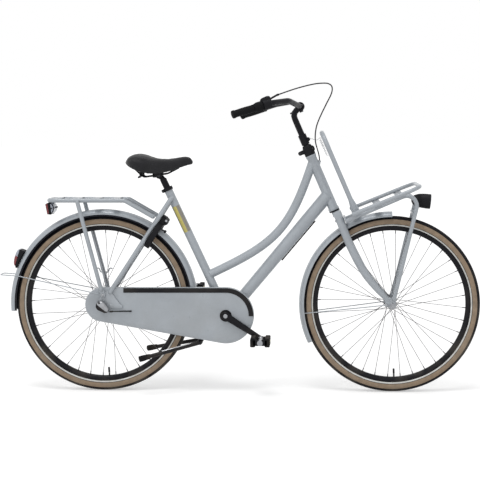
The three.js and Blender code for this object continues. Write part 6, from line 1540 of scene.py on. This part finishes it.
def chain_shape():
    """Plates and rollers laid round both sprockets."""
    route = belt(BOTTOM_BRACKET, FRONT_PITCH, REAR_AXLE, REAR_PITCH, 60)
    loop = [vec(x, CHAIN_Y, z) for x, z in route]
    runs = runs_of([*loop, loop[0]])
    links = round(runs[-1] / 12.7 / 2) * 2
    places = []
    for i in range(links):
        target = runs[-1] * i / links
        k = max(j for j in range(len(loop)) if runs[j] <= target)
        nearer = (target - runs[k]) / (runs[k + 1] - runs[k])
        places.append(loop[k].lerp(loop[(k + 1) % len(loop)], nearer))
    parts = []
    for i, (a, b) in enumerate(zip(places, [*places[1:], places[0]])):
        lean = atan2(b.z - a.z, b.x - a.x)
        offset = 2.9 if i % 2 else 4.1
        outline = link(a, 4.0, b, 4.0, lean, 5)
        for side in (-1, 1):
            parts.append(plate(outline, CHAIN_Y + side * offset - 0.5, 1.0))
        parts.append(rod(vec(a.x, CHAIN_Y - 4.6, a.z), vec(a.x, CHAIN_Y + 4.6, a.z), 3.6, 8))
    return joined(*parts)


def sprocket_shape(centre, teeth, pitch_radius, hub_radius, bore, arms=0):
    """A toothed plate, and arms when it is a chainring."""
    count = teeth * 8
    outline = []
    for i in range(count):
        angle = tau * i / count
        tooth = max(-1.0, min(1.0, 1.6 * cos(teeth * angle)))
        reach = pitch_radius - 4.8 + 2.6 * tooth
        outline.append((centre.x + reach * cos(angle), centre.z + reach * sin(angle)))
    inner_radius = pitch_radius - 13 if arms else bore
    inner = ring_hole(centre, inner_radius, count)
    near, far = CHAIN_Y - 1.2, CHAIN_Y + 1.2
    rings = [side_ring(edge, y) for edge, y in ((outline, near), (outline, far), (inner, far), (inner, near))]
    hub = hoop(hub_radius, bore, spread(centre, CHAIN_Y - 2.2), SIDE, 4.4, 48, edge=0.6)
    parts = [loft(rings, looped=True), hub]
    for i in range(arms):
        angle = tau * i / arms
        middle = spread(centre, CHAIN_Y) + polar(1, angle) * (hub_radius + inner_radius) / 2
        parts.append(block((inner_radius - hub_radius + 8, 3.6, 14), middle, 0.6, Quaternion(SIDE, -angle)))
    return joined(*parts)


piece("chain_linked", chain_shape(), [dark_steel], "frame", "chain")
piece("chainring_toothed", sprocket_shape(BOTTOM_BRACKET, 38, FRONT_PITCH, 30, 9, 5), [dark_steel],
      "cranks", "chainring")
piece("rear_sprocket_toothed", sprocket_shape(REAR_AXLE, 19, REAR_PITCH, 27, 17.4), [dark_steel],
      "sprocket", "rear_sprocket")


# cranks and pedals
CRANK_LENGTH, CRANK_ANGLE, CRANK_OUT = 170.0, radians(-32.5), 69.5


def crank_way(side):
    return polar(1, CRANK_ANGLE if side < 0 else CRANK_ANGLE + pi)


def crank_shape(side):
    """A forged arm, its boss and dust cap, and the pedal's pin."""
    way = crank_way(side)
    tip = BOTTOM_BRACKET + way * CRANK_LENGTH
    count, across = 16, way.cross(SIDE)
    rings = []
    for i in range(count + 1):
        share = i / count
        radius, half = 15 - 5.2 * share, 7.4 - 0.9 * share
        middle = spread(BOTTOM_BRACKET + way * CRANK_LENGTH * share, side * CRANK_OUT)
        rings.append([middle + across * squared(radius * cos(tau * k / 28), radius)
                      + SIDE * squared(half * sin(tau * k / 28), half) for k in range(28)])
    arm = softened(loft(rings), 1.0)
    inner = 34.6 if side < 0 else 36
    boss = lathe([(8.6, inner), (13.4, inner), (14, inner + 0.8), (14, 70), (16, 71), (16, 76.2), (15, 77),
                  (8.6, 77)], BOTTOM_BRACKET, SIDE * side, 48)
    eye = lathe([(0, 62), (10.4, 62), (11, 62.8), (11, 76.2), (10.4, 77), (0, 77)], tip, SIDE * side, 40)
    pin = lathe([(0, 76), (6.4, 76), (6.4, 80), (4.5, 80.4), (4.5, 178.6), (4.1, 179), (0, 179)], tip,
                SIDE * side, 24, finish=1)
    cap = disc(8.2, BOTTOM_BRACKET + SIDE * side * 76.6, SIDE * side, 1.0, 32, 1, 0.4)
    if side > 0:
        return joined(arm, boss, eye, pin, cap)
    collar = hoop(24, 13.8, BOTTOM_BRACKET - SIDE * 59.3, -SIDE, 3, 56, 2, 0.8)
    axle = rod(BOTTOM_BRACKET - SIDE * 77, BOTTOM_BRACKET + SIDE * 77, 17, 28, finish=1)
    return joined(arm, boss, eye, pin, cap, collar, axle)


def squared(value, limit):
    """Pushes an ellipse's coordinate towards its box, for a softly squared section."""
    share = value / limit
    return limit * copysign(abs(share) ** 0.72, share)


def pedal_shape(side):
    """A block pedal: ribbed treads, end caps and a barrel, on the crank's pin."""
    tip = BOTTOM_BRACKET + crank_way(side) * CRANK_LENGTH
    parts = []
    for x in (-29, 29):
        rings = []
        for i in range(33):
            y = 83 + 96 * i / 32
            rib = 0.9 if i % 2 and 1 < i < 31 else 0.0
            outline = box_outline(0, 0, 10 - rib, 17 - rib, 4, 4)
            rings.append([tip + vec(x + u, side * y, v) for u, v in outline])
        parts.append(loft(rings, finish=1))
        parts.append(block((1.6, 52, 12), tip + vec(x + copysign(9.6, x), side * 131, 0), 0.6, finish=2))
    for y in (86, 176):
        parts.append(block((58, 6, 23.8), tip + SIDE * side * y, 1.5))
    barrel = [(4.9, 83.4), (11.5, 83.4), (12, 84.4), (12, 92), (10, 94), (10, 170), (12.5, 172),
              (12.5, 178.5), (11, 186), (0, 186), (0, 179.5), (4.9, 179.5)]
    return joined(*parts, lathe(barrel, tip, SIDE * side, 36, finish=3))


for name, side in (("right", -1), ("left", 1)):
    piece(f"crank_{name}_forged", crank_shape(side), [black_lacquer, silver, black_plastic], "cranks",
          f"crank_{name}")
    piece(f"pedal_{name}_ribbed", pedal_shape(side), [black_plastic, grip_rubber, band_yellow, silver],
          f"pedal_{name}", f"pedal_{name}")


# gear box, cables, brake arm
BOX_TILT = radians(-38)
BOX_WAY = vec(cos(BOX_TILT), 0, sin(BOX_TILT))
BOX_NEAR = -(REAR_NUT + 12 + CLEARANCE)
BOX_WIDTH = 24.0


def box_at(share):
    return spread(REAR_AXLE + BOX_WAY * 58 * share, BOX_NEAR - BOX_WIDTH / 2)


def gear_box_shape():
    """A black body with a silver hood over its upper half and a black cable nose."""
    start = box_at(-0.34)
    a, b = start + BOX_WAY * 20, start + BOX_WAY * 44
    below = vec(BOX_WAY.z, 0, -BOX_WAY.x)
    shell = loft([side_ring(belt(a, 20 - inset, b, 14 - inset, 24), BOX_NEAR - y) for inset, y in (
        (2.0, 0), (0, 2), (0, 13), (1.2, 17.5), (3.6, 20.6), (7, 22.2), (8.4, 22.5))])
    rim = [p for p in side_ring(belt(a, 20.2, b, 14.2, 36), 0) if (p - a).dot(below) > 4]
    rim.sort(key=lambda p: (p - a).dot(BOX_WAY))
    middle = sum(rim, Vector()) / len(rim)
    lower = loft([[spread(middle.lerp(p, scale), BOX_NEAR - y) for p in rim] for scale, y in (
        (1, 4), (1, 15), (0.97, 20), (0.9, 23), (0.82, 24))], finish=1)
    nose = box_at(0.66) - BOX_WAY * 6
    screw = disc(4, spread(a - BOX_WAY * 12 - below * 6, BOX_NEAR - 21.4), -SIDE, 2, 24, 1, 0.5)
    return joined(shell, lower, disc(4.4, nose, BOX_WAY, 5.8, 24, 1, 0.4), screw)


CABLE_RADIUS = CABLE_DIAMETER / 2
DOWN_LINE = DOWN_TO - DOWN_FROM
DOWN_BELOW = vec(DOWN_LINE.z, 0, -DOWN_LINE.x).normalized()


def under_tube(share, lift=CLEARANCE + CABLE_RADIUS):
    return DOWN_FROM + DOWN_LINE * share + DOWN_BELOW * (23 + 3 * share + lift)


def lower_cable_shape():
    low, high = 0.49, 0.82
    route = [under_tube(low + (high - low) * i / 12) for i in range(13)]
    clips = []
    for share in (low + 0.012, high - 0.012):
        place, reach = under_tube(share), DOWN_LINE.normalized() * 5
        clips.append(rod(place - reach, place + reach, 5.0, 16, dome=0.2))
        clips.append(rod(spread(place, -6), spread(place, 6), 5.0, 16, dome=0.4))
    return joined(tube(route, CABLE_DIAMETER, 14, dome=0.5), *clips)


def cable_rod_shape():
    start = box_at(0.66) + FORWARD * (CLEARANCE + 4)
    end = vec(REAR_AXLE.x + 120, -58 - CLEARANCE - CABLE_RADIUS, REAR_AXLE.z - 26)
    knee = end - FORWARD * 26
    sleeve = rod(start + FORWARD * 1.5, start.lerp(knee, 0.22), 7, 20, dome=0.3)
    tip = rod(end - FORWARD * 9, end - FORWARD * 1.5, 6.2, 20, dome=0.3)
    return joined(tube(rounded([start, knee, end], 24), 5, 16, dome=0.4), sleeve, tip)


def brake_arm_shape():
    y = 54.2
    way = vec(cos(radians(-26)), 0, sin(radians(-26)))
    tip = REAR_AXLE + way * 150
    arm = plate(belt(REAR_AXLE, 8.5, tip, 5.3, 20), y, 4, 0.8)
    ring = hoop(24, 17.6, spread(REAR_AXLE, y), SIDE, 4, 48, edge=0.8)
    share = (BOTTOM_BRACKET.x - tip.x) / -REARWARD.x
    centre = on_stay(share, 47)
    forward = -REARWARD.normalized()
    clip = hoop(11, 8.2, centre - forward * 5.2, forward, 10.4, 32, edge=0.8)
    link = block((10.4, 4, centre.z - tip.z), vec(tip.x, y + 2, (centre.z + tip.z) / 2), 0.8)
    head = bolt(vec(tip.x, y + 4, tip.z), SIDE, 4.5)
    return joined(arm, ring, clip, link, head)


piece("gear_box_shell", gear_box_shape(), [silver, black_plastic], "frame", "gear_box")
piece("gear_cable_sheathed", lower_cable_shape(), [black_plastic], "frame", "gear_cable")
piece("gear_cable_rod_bent", cable_rod_shape(), [black_plastic], "frame", "gear_cable_rod")
piece("brake_arm_pressed", brake_arm_shape(), [dark_steel, silver], "frame", "brake_arm")

STAND_PIVOT = vec(-160, 0, 202)
STAND_FOLD = radians(12.7)


def stand_bracket_shape():
    lean = atan2(REARWARD.z, -REARWARD.x)
    top = on_stay(0.13, 0) - UP * (8 / cos(lean) + CLEARANCE)
    flange = block((56, 76, 5), top - UP * 2.8, 1.2, Quaternion(SIDE, lean))
    stem = plate([(place.x + x, place.z + z) for place, x, z in (
        (top, 17, -2.8), (STAND_PIVOT, 11, 0), (STAND_PIVOT, -11, 0), (top, -17, -2.8))], -17, 34, 2)
    barrel = hoop(11, 6.6, STAND_PIVOT - SIDE * 33, SIDE, 66, 40, edge=0.8)
    head = bolt(top - UP * 5.3, -UP, 7)
    return joined(flange, stem, barrel, head)


def kickstand_shape():
    root = vec(0, 45, 0)
    foot = vec(-227 * cos(STAND_FOLD), 130, -227 * sin(STAND_FOLD))
    way = (foot - root).normalized()
    leg = tube(rounded([vec(0, 39, 0), root, foot], 9, 8), 16, TUBE_SIDES, dome=0.5)
    shoe_from, shoe_to = foot - way * 32, foot + way * 14
    profile = [(7.2, 0), (9.4, 0), (10.2, 1.5), (11, 18), (12, 26), (12, 43), (11, 45.4), (9, 46), (0, 46)]
    shoe = lathe([(0, 0), *profile], shoe_from, (shoe_to - shoe_from).normalized(), 36, 1)
    across = way.cross(UP).normalized()
    # a bright strip on the top of the near leg only: a spring rod, and also a painted highlight where light
    # falls on the leg
    strip = tube([root.lerp(foot, t) + across * 2 + UP * 7.6 for t in (0.16, 0.66)], 4.4, 14, 2, dome=0.6)
    pin = rod(vec(0, -40, 0), vec(0, 40, 0), 12, 28)
    return joined(both_sides(joined(leg, shoe)), mirrored(strip), pin)


piece("kickstand_bracket_forged", stand_bracket_shape(), [black_lacquer, silver], "frame",
      "kickstand_bracket")
piece("kickstand_bent", kickstand_shape(), [black_lacquer, grip_rubber, bright_trim], "kickstand",
      "kickstand", place=Matrix.Translation(STAND_PIVOT))


# floor, light, camera: fitted to the photograph
WORLD_LIGHT = 0.62
FLOOR_GLOW, FLOOR_HALF = 0.36, 60
SUNS = (("key_soft", 0.95, 24, (0.12, 0.3, -1.0)), ("fill_soft", 0.55, 80, (0.5, 1.0, -0.35)))
CAMERA_PLACE = (0.327216, -5.4, 1.084464)
CAMERA_YAW, CAMERA_PITCH, CAMERA_ROLL = radians(-2.1871), radians(-2.8806), radians(-0.1052)
CAMERA_LENS, CAMERA_SENSOR, CAMERA_SHIFT = 99.913, 36, (-0.06, -0.1)
FAR_CLIP = 200


def seen_directly(tree):
    """1 for rays the eye, a glossy surface or glass follows, 0 for light itself."""
    path = add_node(tree, "LightPath")
    total = path.outputs["Is Camera Ray"]
    for name in ("Is Glossy Ray", "Is Transmission Ray"):
        total = add_node(tree, "Math", {0: total, 1: path.outputs[name]}, operation="MAXIMUM").outputs[0]
    return total


def floor_material():
    """A floor that is white to the camera and catches the shadow."""
    paint = empty_material("floor_white")
    tree = paint.node_tree
    diffuse = add_node(tree, "BsdfDiffuse", {"Color": (0.8, 0.8, 0.8, 1)})
    level = add_node(tree, "Math", {0: seen_directly(tree), 1: FLOOR_GLOW}, operation="MULTIPLY")
    glow = add_node(tree, "Emission", {"Strength": level.outputs[0]})
    both = add_node(tree, "AddShader", {0: diffuse.outputs[0], 1: glow.outputs[0]})
    add_node(tree, "OutputMaterial", {"Surface": both.outputs[0]})
    return paint


def white_world():
    """A world that looks plain white and lights the bike more softly."""
    world = bpy.data.worlds.new("studio_white")
    world.use_nodes = True
    tree = world.node_tree
    level = add_node(tree, "MapRange", {"Value": seen_directly(tree), "To Min": WORLD_LIGHT, "To Max": 1.0})
    background = tree.nodes["Background"].inputs
    background["Color"].default_value = (1, 1, 1, 1)
    tree.links.new(level.outputs["Result"], background["Strength"])
    return world


def camera_matrix(yaw, pitch, roll, place):
    level = vec(cos(yaw), -sin(yaw), 0)
    forward = vec(sin(yaw) * cos(pitch), cos(yaw) * cos(pitch), sin(pitch))
    upright = level.cross(forward)
    right, up = level * cos(roll) + upright * sin(roll), upright * cos(roll) - level * sin(roll)
    return frame_of(right, up, -forward, Vector(place))


floor_mesh = bpy.data.meshes.new("studio_floor")
floor_build = bmesh.new()
bmesh.ops.create_grid(floor_build, x_segments=2, y_segments=2, size=FLOOR_HALF)
floor_build.to_mesh(floor_mesh)
floor_build.free()
floor = placed("studio_floor", floor_mesh)
floor_mesh.materials.append(floor_material())
scene.world = white_world()
for name, strength, angle, way in SUNS:
    lamp = bpy.data.lights.new(name, "SUN")
    lamp.energy, lamp.angle = strength, radians(angle)
    placed(name, lamp).rotation_euler = Vector(way).to_track_quat("-Z", "Y").to_euler()

view_data = bpy.data.cameras.new("photo_camera")
view_data.sensor_width, view_data.lens, view_data.clip_end = CAMERA_SENSOR, CAMERA_LENS, FAR_CLIP
view_data.shift_x, view_data.shift_y = CAMERA_SHIFT
photo_camera = placed("photo_camera", view_data)
photo_camera.matrix_world = camera_matrix(CAMERA_YAW, CAMERA_PITCH, CAMERA_ROLL, CAMERA_PLACE)
scene.camera = photo_camera
scene.view_settings.view_transform = "Standard"
